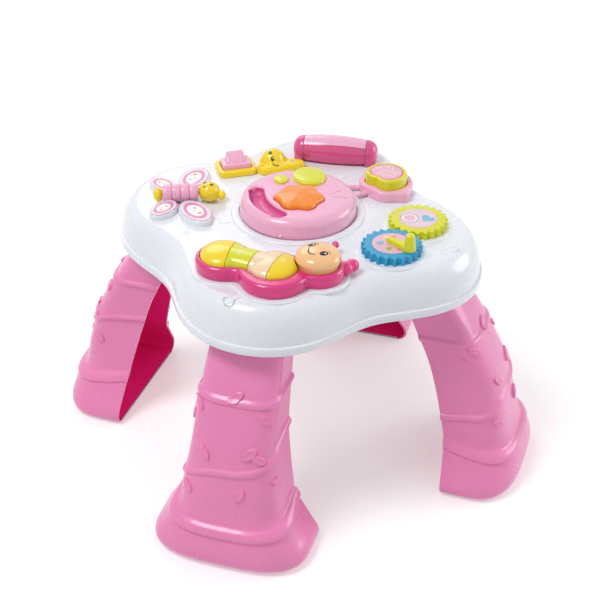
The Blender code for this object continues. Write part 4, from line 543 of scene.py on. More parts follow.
def circle(steps):
    """Angles round a full turn."""
    return [math.tau * i / steps for i in range(steps)]


def half_circle(middle, radius, start, steps=12):
    """Points over half a turn."""
    return [middle + polar(radius, start + math.pi * i / steps) for i in range(steps + 1)]


def spin(turn):
    """A turn about Z, for points."""
    return Matrix.Rotation(turn, 3, "Z")


def on_oval(radii, angle):
    return Vector((radii[0] * math.cos(angle), radii[1] * math.sin(angle), 0.0))


def place(share):
    """A place on the deck, from shares of the rim's radius."""
    return Vector((share[0] * RIM_RADIUS, share[1] * RIM_RADIUS, 0.0))


def frame_at(origin, z=0.0, turn=0.0):
    return Matrix.Translation((origin[0], origin[1], z)) @ Matrix.Rotation(turn, 4, "Z")


def linked(name, data):
    made = bpy.data.objects.new(name, data)
    bpy.context.scene.collection.objects.link(made)
    return made


def drawn_mesh(name, curve, finish):
    """The mesh of a curve, in one finish."""
    drawn = linked(name, curve)
    bpy.context.view_layer.update()
    mesh = bpy.data.meshes.new_from_object(drawn.evaluated_get(bpy.context.evaluated_depsgraph_get()))
    bpy.data.objects.remove(drawn, do_unlink=True)
    mesh.materials.clear()
    mesh.materials.append(finish)
    return mesh


def from_bmesh(bm, name, finish, angle=40):
    bmesh.ops.recalc_face_normals(bm, faces=bm.faces)
    mesh = bpy.data.meshes.new(name)
    bm.to_mesh(mesh)
    bm.free()
    mesh.shade_smooth()
    mesh.set_sharp_from_angle(angle=math.radians(angle))
    mesh.materials.append(finish)
    return linked(name, mesh)


def loft(name, rings, finish, closed=True, low_cap=True, high_cap=True, angle=40):
    """A skin over rings of points that match one to one."""
    bm = bmesh.new()
    rows = [[bm.verts.new(p) for p in ring] for ring in rings]
    count = len(rows[0])
    for lower, upper in zip(rows, rows[1:]):
        for i in range(count if closed else count - 1):
            k = (i + 1) % count
            bm.faces.new((lower[i], lower[k], upper[k], upper[i]))
    if low_cap:
        bm.faces.new(list(reversed(rows[0])))
    if high_cap:
        bm.faces.new(rows[-1])
    return from_bmesh(bm, name, finish, angle)


def outward(outline, closed=True):
    """Unit normals of a counterclockwise outline, or of an open one."""
    ends = outline[-1:] + outline + outline[:1] if closed else outline[:1] + outline + outline[-1:]
    ways = []
    for before, after in zip(ends, ends[2:]):
        along = after - before
        ways.append(Vector((along.y, -along.x, 0.0)).normalized())
    return ways


def rounded(bottom, top, radius, steps=6):
    """Insets and heights up a wall with a rounded upper edge."""
    turns = quarter(steps)
    return [(0.0, bottom)] + [(radius * (1 - math.cos(t)), top - radius * (1 - math.sin(t))) for t in turns]


def seated(inset, height, radius):
    """Insets and heights of a toy that stands on the deck, with a rounded upper edge."""
    return [(inset, GAP), (0.0, GAP + 0.001)] + rounded(height - radius, height, radius, 8)[1:]


def plate(name, outline, profile, finish):
    """A plate whose rings follow (inset, height) pairs in from its outline."""
    ways = outward(outline)
    rings = [[p - way * inset + raised(z) for p, way in zip(outline, ways)] for inset, z in profile]
    return loft(name, rings, finish)


def puffed(name, outline, middle, profile, finish):
    """A dome over an outline: its rings are (share of the outline, height)."""
    rings = [[middle + (p - middle) * share + raised(z) for p in outline] for share, z in profile]
    return loft(name, rings, finish)


def spun(name, profile, finish, sides=96, angle=40):
    """A body of revolution about Z from (radius, z) pairs."""
    bm = bmesh.new()
    rows = []
    for radius, z in profile:
        if radius < 1e-6:
            rows.append([bm.verts.new((0.0, 0.0, z))])
        else:
            rows.append([bm.verts.new(polar(radius, t) + raised(z)) for t in circle(sides)])
    for upper, lower in zip(rows, rows[1:]):
        for i in range(sides):
            k = (i + 1) % sides
            corners = dict.fromkeys([upper[i % len(upper)], upper[k % len(upper)],
                                     lower[k % len(lower)], lower[i % len(lower)]])
            if len(corners) > 2:
                bm.faces.new(list(corners))
    return from_bmesh(bm, name, finish, angle)


def ball(name, radii, at, finish):
    bm = bmesh.new()
    bmesh.ops.create_uvsphere(bm, u_segments=40, v_segments=24, radius=1.0)
    for vert in bm.verts:
        vert.co = [co * radius + mid for co, radius, mid in zip(vert.co, radii, at)]
    return from_bmesh(bm, name, finish)


def tube(name, points, radius, finish, closed=False, flat=1.0):
    """A rounded line through points, flattened where asked."""
    curve = bpy.data.curves.new(name, "CURVE")
    curve.dimensions = "3D"
    curve.bevel_depth = radius
    curve.bevel_resolution = 3
    curve.use_fill_caps = True
    line = curve.splines.new("POLY")
    line.points.add(len(points) - 1)
    for point, at in zip(line.points, points):
        point.co = (*at, 1.0)
    line.use_cyclic_u = closed
    mesh = drawn_mesh(name, curve, finish)
    mesh.shade_smooth()
    made = linked(name, mesh)
    if flat != 1.0:
        middle = sum(p[2] for p in points) / len(points)
        for vert in mesh.vertices:
            vert.co.z = middle + (vert.co.z - middle) * flat
    return made


def flow(points, steps=8, closed=False):
    """A Catmull-Rom curve through points."""
    points = [Vector((*p, 0.0)[:3]) for p in points]
    count = len(points)
    made = []
    for i in range(count if closed else count - 1):
        if closed:
            a, b, c, d = (points[(i + k) % count] for k in (-1, 0, 1, 2))
        else:
            a, b, c, d = (points[min(max(i + k, 0), count - 1)] for k in (-1, 0, 1, 2))
        for step in range(steps):
            t = step / steps
            made.append((2 * b + (c - a) * t + (2 * a - 5 * b + 4 * c - d) * t ** 2
                         + (3 * b - a - 3 * c + d) * t ** 3) / 2)
    if not closed:
        made.append(points[-1])
    return made


def oval(radii, turn=0.0, at=(0.0, 0.0), sides=48):
    middle = Vector((at[0], at[1], 0.0))
    return [spin(turn) @ on_oval(radii, t) + middle for t in circle(sides)]


def disc(radius, sides, at=(0.0, 0.0)):
    return oval((radius, radius), 0.0, at, sides)


def heart(size, turn=0.0, at=(0.0, 0.0), sides=40):
    """A plain heart, as wide as twice the size."""
    points = []
    for t in circle(sides):
        shape = Vector((16 * math.sin(t) ** 3,
                        13 * math.cos(t) - 5 * math.cos(2 * t) - 2 * math.cos(3 * t) - math.cos(4 * t), 0.0))
        points.append(spin(turn) @ (shape * (size / 16)) + level(at))
    return points[::-1]


def moved(obj, placing):
    obj.data.transform(placing)
    return obj


def merged(name, pieces):
    """Several shapes as one object that keeps each one's material."""
    mesh = bpy.data.meshes.new(name)
    bm = bmesh.new()
    finishes = []
    for piece in pieces:
        start = len(bm.faces)
        bm.from_mesh(piece.data)
        bm.faces.ensure_lookup_table()
        slots = []
        for finish in piece.data.materials:
            if finish not in finishes:
                finishes.append(finish)
            slots.append(finishes.index(finish))
        for face in bm.faces[start:]:
            face.material_index = slots[min(face.material_index, len(slots) - 1)]
        bpy.data.objects.remove(piece, do_unlink=True)
    bm.to_mesh(mesh)
    bm.free()
    for finish in finishes:
        mesh.materials.append(finish)
    return linked(name, mesh)


def room(across, along, up, finish):
    """A straight-sided space to cut away, between two values on each axis."""
    corners = ((across[0], along[0]), (across[1], along[0]), (across[1], along[1]), (across[0], along[1]))
    return plate("room", [level(p) for p in corners], [(0.0, up[0]), (0.0, up[1])], finish)


def below_deck(finish):
    return room((-2 * ROOM, 2 * ROOM), (-2 * ROOM, 2 * ROOM), (-ROOM, GAP), finish)


def combined(obj, operation, tools):
    for tool in tools:
        step = obj.modifiers.new(operation.lower(), "BOOLEAN")
        step.operation = operation
        step.object = tool
    return baked(obj, tools)


def cut(obj, *tools):
    """Cuts shapes out of an object and removes them."""
    return combined(obj, "DIFFERENCE", tools)


def joined(obj, *tools):
    return combined(obj, "UNION", tools)


def baked(obj, tools=()):
    """Applies an object's modifiers and removes the shapes that they used."""
    bpy.context.view_layer.update()
    mesh = bpy.data.meshes.new_from_object(obj.evaluated_get(bpy.context.evaluated_depsgraph_get()))
    finishes = list(obj.data.materials)
    obj.modifiers.clear()
    obj.data = mesh
    for tool in tools:
        bpy.data.objects.remove(tool, do_unlink=True)
    if not mesh.materials:
        for finish in finishes:
            mesh.materials.append(finish)
    mesh.shade_smooth()
    mesh.set_sharp_from_angle(angle=math.radians(40))
    return obj


def softened(obj, width, segments=3, limit=40):
    """Rounds an object's sharp edges."""
    step = obj.modifiers.new("soften", "BEVEL")
    step.width = width
    step.segments = segments
    step.limit_method = "ANGLE"
    step.angle_limit = math.radians(limit)
    step.use_clamp_overlap = True
    return baked(obj)


def put(obj, name, body, slot, *nodes):
    """Names a piece, lets it ride on its body and hides the nodes that it stands for."""
    obj.name = name
    obj.data.name = name
    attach(obj, body)
    if nodes:
        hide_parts(*nodes)
    return obj


def settle(shapes, placing, name, body, slot, *nodes):
    """Moves a shape, or several as one piece, to its place on its body."""
    piece = merged(name, shapes) if isinstance(shapes, list) else shapes
    return put(moved(piece, placing), name, body, slot, *nodes)


# Smooth fields for outlines that grow together

def blended(distances, reach):
    """The distance to several shapes that melt together over a reach."""
    least = min(distances)
    return least - reach * math.log(sum(math.exp((least - d) / reach) for d in distances))


def disc_distance(point, middle, radius):
    return math.hypot(point.x - middle.x, point.y - middle.y) - radius


def neck_distance(point, start, end, half):
    way = end - start
    share = max(0.0, min(1.0, (point - start).dot(way) / way.dot(way)))
    return (point - start - way * share).length - half


def slope(field, point):
    step = 1e-5
    return Vector((field(point + Vector((step, 0, 0))) - field(point - Vector((step, 0, 0))),
                   field(point + Vector((0, step, 0))) - field(point - Vector((0, step, 0))),
                   0.0)) / (2 * step)


def onto(field, point, value):
    for _ in range(6):
        way = slope(field, point)
        point = point - way * ((field(point) - value) / max(way.dot(way), 1e-9))
    return point


def traced(field, start, step):
    """Follows the zero line of a field, counterclockwise."""
    first = onto(field, start, 0.0)
    points = [first]
    while len(points) < 2000:
        way = slope(field, points[-1]).normalized()
        point = onto(field, points[-1] + Vector((-way.y, way.x, 0.0)) * step, 0.0)
        if len(points) > 8 and (point - first).length < step * 0.8:
            break
        points.append(point)
    return points


def field_plate(name, field, outline, profile, finish):
    """A plate whose rings lie on the field's own level lines."""
    rings = [[onto(field, p, -inset) + raised(z) for p in outline] for inset, z in profile]
    return loft(name, rings, finish)


# Top shell

def rim_point(angle, inset, z=0.0):
    swing = 4 * (angle - math.pi / 4)
    wave = RIM_LOBE_SHARE * math.cos(swing) - RIM_FLAT_SHARE * math.cos(2 * swing)
    radius = RIM_RADIUS * (1 + wave) - inset
    return Vector((RIM_X_SHARE * radius * math.cos(angle), radius * math.sin(angle), z))


LID_PLACING = frame_at(place(LID_PLACE_SHARE), DECK_Z, LID_TURN)
BUTTERFLY_PLACING = frame_at(place(BUTTERFLY_PLACE_SHARE), DECK_Z, BUTTERFLY_TURN)
BARREL_PLACING = frame_at(place(BARREL_PLACE_SHARE), DECK_Z, BARREL_TURN)
TRAY_PLACING = frame_at(place(TRAY_PLACE_SHARE), DECK_Z, TRAY_TURN)
GIRAFFE_PLACING = frame_at(place(GIRAFFE_PLACE_SHARE), DECK_Z)
APPLE_PLACING = frame_at(place(APPLE_PLACE_SHARE), DECK_Z)
DECK_PLACING = frame_at((0.0, 0.0), DECK_Z)
GEAR_FIRST = place(GEAR_PLACE_SHARE)
GEAR_SECOND = GEAR_FIRST + polar(2 * GEAR_RADIUS + GEAR_PLAY, GEAR_LINE_TURN)
MIDDLE = place(WORM_PLACE_SHARE)
TAIL = MIDDLE + polar(BODY_PITCH, TAIL_TURN)
HEAD = MIDDLE + polar(HEAD_PITCH, HEAD_TURN)
WORM_START = MIDDLE - level((0.0, 2 * MIDDLE_LOBE))


def barrel_radius(x):
    return BARREL_RADIUS - (BARREL_RADIUS - BARREL_END_RADIUS) * (x / DRUM_HALF) ** 2


def rim_levels():
    """Insets and heights up the shell: a rounded lip, a seam and the bulging skirt."""
    soft = 0.0012
    low = RIM_Z
    high = RIM_Z + LIP_HEIGHT
    levels = [(soft, low), (soft * 0.3, low + soft * 0.3), (0.0, low + soft), (0.0, high - soft),
              (soft * 0.3, high - soft * 0.3), (soft, high), (LIP_PROUD - soft * 0.2, high + soft * 0.3)]
    return levels + [(LIP_PROUD + SKIRT_INSET * (1 - math.cos(t)), high + LIP_STEP + SKIRT_RISE * math.sin(t))
                     for t in quarter(24)]


def well_reach(angle):
    """The well's radius, which widens at the hinge notch."""
    side = abs(math.remainder(angle, math.tau))
    corner = math.atan2(NOTCH_HALF, NOTCH_X)
    if side <= corner:
        return NOTCH_X / math.cos(side)
    if side < math.asin(NOTCH_HALF / WELL_RADIUS):
        return NOTCH_HALF / math.sin(side)
    return WELL_RADIUS


def well_outline():
    corner = math.atan2(NOTCH_HALF, NOTCH_X)
    end = math.asin(NOTCH_HALF / WELL_RADIUS)
    turns = [corner * (i / 8) for i in range(-8, 9)]
    turns += [end + (math.tau - 2 * end) * i / 110 for i in range(111)]
    return [polar(well_reach(t), t) for t in turns]


def trough_rows(steps=12, around=16):
    """The trough's wall as rows of points along the barrel's axis, in the barrel's frame."""
    half = DRUM_HALF + TROUGH_SLIP
    rows = []
    for i in range(steps + 1):
        x = half * (2 * i / steps - 1)
        reach = barrel_radius(x) + TROUGH_SLIP
        limit = math.acos(BARREL_Z / reach)
        turns = [limit * (2 * k / around - 1) for k in range(around + 1)]
        rows.append([Vector((x, reach * math.sin(t), BARREL_Z - reach * math.cos(t))) for t in turns])
    return rows


def filled(name, outlines, finish):
    """A flat sheet inside the first outline, with the others as holes."""
    curve = bpy.data.curves.new(name, "CURVE")
    curve.dimensions = "2D"
    curve.fill_mode = "BOTH"
    for outline in outlines:
        line = curve.splines.new("POLY")
        line.points.add(len(outline) - 1)
        for point, at in zip(line.points, outline):
            point.co = (at.x, at.y, 0.0, 1.0)
        line.use_cyclic_u = True
    mesh = drawn_mesh(name, curve, finish)
    return linked(name, mesh)


def make_top():
    rings = [[rim_point(t, inset, z) for t in circle(320)] for inset, z in rim_levels()]
    under = [p - way * SHELL_WALL for p, way in zip(rings[0], outward(rings[0]))]
    inner = [Vector((p.x, p.y, RIM_Z + 0.006)) for p in under]
    shell = loft("shell", [inner, under] + rings, WHITE, low_cap=False, high_cap=False)
    well = [LID_PLACING @ p for p in well_outline()]
    rows = trough_rows()
    border = ([row[0] for row in rows] + rows[-1][1:] + [row[-1] for row in reversed(rows[:-1])]
              + list(reversed(rows[0]))[1:-1])
    border = [BARREL_PLACING @ Vector((p.x, p.y, 0.0)) for p in border if abs(p.z) < 1e-6]
    deck = moved(filled("deck", [rings[-1], well, border], WHITE), DECK_PLACING)
    inside = [polar(WELL_RADIUS, math.atan2(p.y, p.x)) for p in well_outline()]
    levels = [(well_outline(), 1.0, -NOTCH_DEPTH), (inside, 1.0, -NOTCH_DEPTH - 0.0002),
              (inside, 1.0, 0.002 - WELL_DEPTH), (inside, 1 - 0.03, -WELL_DEPTH)]
    walls = [[LID_PLACING @ (p * share + raised(z)) for p in points] for points, share, z in levels]
    wall = loft("well_wall", [well] + walls, WHITE, low_cap=False)
    trough = moved(loft("trough", rows, WHITE, closed=False), BARREL_PLACING)
    inner_radius = LID_RADIUS + RING_GAP
    soft = RING_HEIGHT * 0.8
    profile = [(inner_radius, SUNK), (inner_radius, RING_HEIGHT - soft * 0.6)]
    profile += [(inner_radius + soft * (1 - math.cos(t)), RING_HEIGHT - soft * 0.6 * (1 - math.sin(t)))
                for t in quarter(6)]
    outer = inner_radius + RING_WIDTH
    slant = RING_HEIGHT * 1.6
    profile += [(outer - slant + slant * math.sin(t), RING_HEIGHT * math.cos(t)) for t in quarter(8)]
    profile.append((outer, SUNK))
    ring = moved(spun("ring", profile[::-1], WHITE, 160), LID_PLACING)
    arms = [hinge_arm(y) for y in (HINGE_SPREAD, -HINGE_SPREAD - HINGE_LEAF)]
    shapes = [shell, deck, wall, trough, ring] + arms + deck_pads() + doodles() + posts()
    return put(merged("top", shapes), "top_skin", "table", "white_plastic", "top_shell")


def standing(name, outline, y, finish):
    """A leaf of the hinge: an outline drawn along X and Z, one leaf thick along Y."""
    made = plate(name, outline, [(0.0, 0.0), (0.0, HINGE_LEAF)], finish)
    return moved(made, Matrix.Translation((0.0, y + HINGE_LEAF, 0.0)) @ Matrix.Rotation(math.pi / 2, 4, "X"))


def hinge_arm(y):
    far = HINGE_POST_X + HINGE_POST_THICK
    outline = [level((HINGE_POST_X, -WELL_DEPTH)), level((far, -WELL_DEPTH)),
               level((far, HINGE_Z - HINGE_EYE_RADIUS))]
    outline += half_circle(level((HINGE_X, HINGE_Z)), HINGE_EYE_RADIUS, -math.pi / 2)
    outline.append(level((HINGE_POST_X, HINGE_Z + HINGE_EYE_RADIUS)))
    return moved(standing("arm", outline, y, WHITE), LID_PLACING)


def worm_field(grow):
    def field(p):
        return blended([disc_distance(p, TAIL, TAIL_LOBE + grow),
                        disc_distance(p, MIDDLE, MIDDLE_LOBE + grow),
                        disc_distance(p, HEAD, HEAD_LOBE + grow),
                        neck_distance(p, TAIL, MIDDLE, BODY_NECK + grow)],
                       WORM_MELT)
    return field


def gear_field(grow):
    def field(p):
        return blended([disc_distance(p, GEAR_FIRST, GEAR_RADIUS + grow),
                        disc_distance(p, GEAR_SECOND, GEAR_RADIUS + grow)], GEAR_MELT)
    return field


def wings():
    """The four wings in the butterfly's frame, as (half sizes, middle, turn)."""
    return [(radii, (at[0], (1.0 if side > 0 else WING_NEARER) * side * at[1]), side * turn)
            for radii, at, turn in ((WING_LARGE, WING_LARGE_AT, WING_LARGE_TURN),
                                    (WING_SMALL, WING_SMALL_AT, WING_SMALL_TURN)) for side in (1, -1)]


def teardrop(radii, at, turn):
    """A wing's outline: an oval drawn out to a narrow root at the body."""
    points = oval([r * 1.05 for r in radii], turn, at, 72)
    points += oval([radii[1] * 0.3] * 2, 0.0, (at[0] * 0.6, at[1] * 0.4), 24)
    points.sort(key=lambda p: (p.x, p.y))
    sides = []
    for run in (points, points[::-1]):
        side = []
        for p in run:
            while len(side) > 1 and (side[-1] - side[-2]).cross(p - side[-1]).z <= 0:
                side.pop()
            side.append(p)
        sides += side[:-1]
    return sides


def deck_pads():
    """The raised borders round the worm and the gears, and the wings."""
    pads = []
    for field, start in ((worm_field(BORDER_WIDTH), WORM_START),
                         (gear_field(TOOTH_HALF + BORDER_WIDTH), GEAR_FIRST - level((0.0, 2 * GEAR_RADIUS)))):
        pad = field_plate("border", field, traced(field, start, PAD_STEP),
                          rounded(SUNK, BORDER_HEIGHT, BORDER_HEIGHT * 0.9), WHITE)
        pads.append(moved(pad, DECK_PLACING))
    for wing in wings():
        pad = plate("wing", teardrop(*wing), rounded(SUNK, WING_HEIGHT, WING_EDGE, 8), WHITE)
        pads.append(moved(pad, BUTTERFLY_PLACING))
    return pads


def posts():
    top = GEAR_TOP - CAP_THICK
    profile = [(0.0, top), (POST_RADIUS, top), (POST_RADIUS, SUNK)]
    return [moved(spun("post", profile, WHITE, 32), frame_at(where, DECK_Z))
            for where in (GEAR_FIRST, GEAR_SECOND)]


def engraved(points, closed=False):
    """A raised line of a drawing on the deck."""
    points = [p + raised(DECK_Z) for p in flow(points, 8, closed)]
    return tube("line", points, DOODLE_HALF, WHITE, closed, 0.6)


def doodles():
    """Small plain drawings moulded into the deck: bubbles, buds and a trail."""
    rings = [engraved(disc(size, 14, at), closed=True) for at, size in DOODLE_RINGS]
    return rings + [engraved(points) for points in DOODLE_LINES]


# Legs

def read(table, share):
    """Reads a table of (share, value) pairs along a smooth curve."""
    if share <= table[0][0]:
        return table[0][1]
    for i in range(len(table) - 1):
        low, high = table[i], table[i + 1]
        if share <= high[0]:
            before = table[max(i - 1, 0)]
            after = table[min(i + 2, len(table) - 1)]
            span = high[0] - low[0]
            start = (high[1] - before[1]) / (high[0] - before[0]) * span
            end = (after[1] - low[1]) / (after[0] - low[0]) * span
            t = (share - low[0]) / span
            return ((2 * t ** 3 - 3 * t ** 2 + 1) * low[1] + (t ** 3 - 2 * t ** 2 + t) * start
                    + (3 * t ** 2 - 2 * t ** 3) * high[1] + (t ** 3 - t ** 2) * end)
    return table[-1][1]


def hump(distance, half):
    return math.sqrt(1 - (distance / half) ** 2) if abs(distance) < half else 0.0


def leg_section(height, front=44):
    """The leg's outline at a height, from one inner edge round the front to the other, in the leg's frame."""
    share = height / LEG_TOP
    reach = LEG_REACH * read(LEG_OUTER_SHARES, share)
    inner = LEG_REACH * read(LEG_INNER_SHARES, share)
    half = LEG_HALF * read(LEG_HALF_SHARES, share)
    depth = (reach - inner) * read(LEG_FRONT_ROUND_SHARES, share)
    side = reach - depth - inner
    points = [Vector((inner + side * i / 6, -half, height)) for i in range(6)]
    for i in range(front + 1):
        angle = math.pi * (i / front - 0.5)
        angle = math.pi / 2 * math.copysign(abs(2 * angle / math.pi) ** 0.8, angle)
        rise = math.sin(angle)
        points.append(Vector((reach - depth
                              + (depth - LEG_TRIM) * abs(math.cos(angle)) ** (2 / LEG_FRONT_POWER),
                              math.copysign(half * abs(rise) ** (2 / LEG_FRONT_POWER), rise), height)))
    points += [Vector((inner + side * i / 6, half, height)) for i in range(5, -1, -1)]
    return points


def leg_loop(height):
    """Outer and inner points of the leg's wall at a height."""
    outer = leg_section(height)
    ways = outward(outer, closed=False)
    last = len(outer) - 1
    shown = []
    for i, (p, way) in enumerate(zip(outer, ways)):
        across = 2 * i / last - 1
        proud = (BAND_PROUD * hump(height - BAND_Z + BAND_DIP * (1 - across ** 2), BAND_HALF * 0.9)
                 + RIDGE_PROUD * hump(height - RIDGE_LOWER_Z - RIDGE_LOWER_TILT * across, RIDGE_HALF * 0.85)
                 + RIDGE_PROUD * hump(height - RIDGE_UPPER_Z, RIDGE_HALF * 0.85))
        shown.append(p + way * proud)
    return shown, [p - way * LEG_WALL for p, way in zip(outer, ways)]


def leg_shape():
    heights = [0.0, SOLE_EDGE, LEG_WALL] + [LEG_WALL + (LEG_TOP - 0.006) * i / 250
                                        for i in range(1, 251)] + [LEG_TOP]
    bm = bmesh.new()
    loops = []
    for height in heights:
        outer, inner = leg_loop(height)
        if height == 0.0:
            outer = [p - way * SOLE_EDGE for p, way in zip(outer, outward(outer, closed=False))]
        loops.append([bm.verts.new(p) for p in outer + list(reversed(inner))])
    count = len(loops[0])
    half = count // 2
    for lower, upper in zip(loops, loops[1:]):
        for i in range(count):
            k = (i + 1) % count
            face = bm.faces.new((lower[i], lower[k], upper[k], upper[i]))
            # Painted shade: the inner faces of the wall and the two inner floors take the deeper magenta
            # finish.
            face.material_index = int(half <= i < count - 1)
    bm.faces.new(list(reversed(loops[0][:half])))
    bm.faces.new(loops[-1][:half])
    for row, flip in ((2, False), (len(loops) - 2, True)):
        floor = [bm.verts.new(v.co) for v in loops[row][half:]]
        face = bm.faces.new(floor if flip else list(reversed(floor)))
        face.material_index = 1
    made = from_bmesh(bm, "leg", LEG_PINK, 50)
    made.data.materials.append(LEG_INSIDE_SHADE)
    return made


def leg_spot(along, height):
    """A point of the leg's outer face and its outward way, at a share of the way round its front."""
    outer, _ = leg_loop(height)
    ways = outward(outer, closed=False)
    lengths = [0.0]
    for a, b in zip(outer, outer[1:]):
        lengths.append(lengths[-1] + (b - a).length)
    goal = lengths[-1] * (0.5 + along / 2)
    for i in range(len(outer) - 1):
        if goal <= lengths[i + 1]:
            t = (goal - lengths[i]) / max(lengths[i + 1] - lengths[i], 1e-9)
            return outer[i].lerp(outer[i + 1], t), ways[i].lerp(ways[i + 1], t).normalized(), lengths[-1]
    return outer[-1], ways[-1], lengths[-1]


def leaf_relief(along, height, turn, size):
    """A pointed leaf that stands out of the leg's face, with a dent along its middle."""
    _, _, length = leg_spot(along, height)
    rings = []
    for share, rise in LEAF_RELIEF_SHARES:
        ring = []
        for t in circle(24):
            u = size * math.cos(t) * share
            v = size * 0.48 * math.sin(t) * abs(math.sin(t)) ** 0.35 * share
            s = u * math.cos(turn) - v * math.sin(turn)
            h = u * math.sin(turn) + v * math.cos(turn)
            p, way, _ = leg_spot(along + 2 * s / length, height + h)
            ring.append(p + way * (LEAF_RELIEF * rise))
        rings.append(ring)
    return loft("leaf", rings, LEG_PINK, low_cap=False)


def make_legs():
    for name, turn in LEG_TURNS.items():
        shapes = [leg_shape()] + [leaf_relief(*leaf) for leaf in LEG_LEAVES]
        leg = moved(merged("leg", shapes), Matrix.Rotation(turn, 4, "Z"))
        put(leg, "leg_" + name + "_skin", "table", "pink_plastic", "leg_" + name)


# Prints and marks that lie on a curved face

def patch(outline, surface, finish, lift=PRINT_LIFT, middle=None):
    """A thin print whose outline, in the face's own two directions, is laid onto a surface."""
    if middle is None:
        middle = sum(outline, Vector()) / len(outline)
    rings = []
    for share, rise in ((1.0, 0.0), (1.0, lift), (0.75, lift), (0.5, lift), (0.25, lift), (0.03, lift)):
        ring = []
        for p in outline:
            q = middle + (p - middle) * share
            point, way = surface(q.x, q.y)
            ring.append(point + way * rise)
        rings.append(ring)
    return loft("print", rings, finish, low_cap=False)


def stroke(points, surface, finish, half, lift=PRINT_LIFT):
    """A thin painted line laid onto a surface, with narrow ends."""
    route = flow(points, 6)
    bm = bmesh.new()
    rows = []
    for i, (p, side) in enumerate(zip(route, outward(route, closed=False))):
        thin = half * (0.45 + 0.55 * math.sin(math.pi * i / (len(route) - 1)))
        row = []
        for q in (p - side * thin, p + side * thin):
            point, way = surface(q.x, q.y)
            row.append(bm.verts.new(point + way * lift))
        rows.append(row)
    for low, high in zip(rows, rows[1:]):
        bm.faces.new((low[0], low[1], high[1], high[0]))
    made = from_bmesh(bm, "stroke", finish)
    thick = made.modifiers.new("thick", "SOLIDIFY")
    thick.thickness = lift
    thick.offset = 0.0
    return baked(made)


def flat_surface(height):
    """A level face at a height, in a toy's own frame."""
    return lambda s, t: (Vector((s, t, height)), raised(1.0))


def dome_surface(profile):
    """The face of a body of revolution, read from its profile."""
    def height(reach):
        for (near, high), (far, low) in zip(profile, profile[1:]):
            if near <= reach <= far:
                return high + (low - high) * (reach - near) / max(far - near, 1e-9)
        return profile[-1][1]

    def surface(s, t):
        reach = math.hypot(s, t)
        z = height(reach)
        step = 0.0004
        fall = (height(reach + step) - z) / step
        way = Vector((s, t, 0.0)) * (fall / max(reach, 1e-6))
        return Vector((s, t, z)), Vector((-way.x, -way.y, 1.0)).normalized()
    return surface


def ball_surface(middle, radii, facing):
    """An ellipsoid's face seen against a direction, with its first direction across it."""
    facing = Vector(facing).normalized()
    across = raised(1.0).cross(facing).normalized()
    rise = facing.cross(across)
    middle = Vector(middle)
    scale = Vector(radii)

    def surface(s, t):
        start = across * s + rise * t
        a = sum((facing[i] / scale[i]) ** 2 for i in range(3))
        b = 2 * sum(start[i] * facing[i] / scale[i] ** 2 for i in range(3))
        c = sum((start[i] / scale[i]) ** 2 for i in range(3)) - 1
        reach = (-b + math.sqrt(max(b * b - 4 * a * c, 0.0))) / (2 * a)
        point = start + facing * reach
        normal = Vector([point[i] / scale[i] ** 2 for i in range(3)]).normalized()
        return middle + point, normal
    return surface


def eye(surface, at, size, turn=0.0):
    """A plain friendly eye: a dark oval with two glints."""
    at = level(at)
    glint = spin(turn) @ Vector((0.18 * size[0], 0.32 * size[1], 0.0))
    large, small = (size[0] * 0.30, size[1] * 0.26), (size[0] * 0.18, size[1] * 0.14)
    return [patch(oval(size, turn, at, 32), surface, BLACK),
            patch(oval(large, turn, at + glint, 20), surface, WHITE_INK, GLINT_LIFT),
            patch(oval(small, turn, at - glint * 1.5, 16), surface, GREY_INK, GLINT_LIFT)]


def petals(surface, at, size, finish, count=5, turn=0.0, lift=PRINT_LIFT):
    """A small printed flower."""
    outline = [level(at) + polar(size * (0.74 + 0.26 * math.cos(count * (t - turn))), t)
               for t in circle(12 * count)]
    return [patch(outline, surface, finish, lift, level(at))]


def melted(obj, voxel, smooth=8):
    """Melts overlapping shapes into one soft skin."""
    step = obj.modifiers.new("melt", "REMESH")
    step.mode = "VOXEL"
    step.voxel_size = voxel
    soft = obj.modifiers.new("soften", "SMOOTH")
    soft.iterations = smooth
    soft.factor = 0.5
    finish = obj.data.materials[0]
    made = baked(obj)
    made.data.materials.clear()
    made.data.materials.append(finish)
    made.data.shade_smooth()
    return made


def opening(name, outline, floor, top, edge, foot, finish):
    """The room of a recess, whose mouth and floor are rounded."""
    turns = quarter(6)
    profile = [(foot * (1 - math.sin(t)), floor + foot * (1 - math.cos(t))) for t in turns]
    profile += [(-edge * (1 - math.cos(t)), top - edge + edge * math.sin(t)) for t in turns]
    profile.append((-edge, top + 0.004))
    return plate(name, outline, profile, finish)


def kept(obj, tool):
    """The part of a shape inside another."""
    return combined(obj, "INTERSECT", (tool,))


def shared(obj, finish, inside):
    """Gives the faces that a test picks a second finish."""
    obj.data.materials.append(finish)
    index = len(obj.data.materials) - 1
    for face in obj.data.polygons:
        if inside(face.center, face.normal):
            face.material_index = index
    return obj


# Lid

def lid_point(share):
    return Vector((share[0] * LID_RADIUS, share[1] * LID_RADIUS, 0.0))


def lobed(radius, lobes, share, turn=0.0, sides=120):
    return [polar(radius * (1 + share * math.cos(lobes * (t - turn))), t) for t in circle(sides)]


def flower_outline(grow):
    return [p + lid_point(FLOWER_PLACE_SHARE)
            for p in lobed(FLOWER_RADIUS + grow, FLOWER_LOBES, FLOWER_LOBE_SHARE, math.radians(20))]


def recess_placing():
    where = lid_point(FLOWER_PLACE_SHARE) + polar(FLOWER_RADIUS + RECESS_HALF + RECESS_CLEARANCE, RECESS_WAY)
    return frame_at(where, 0.0, RECESS_TURN)


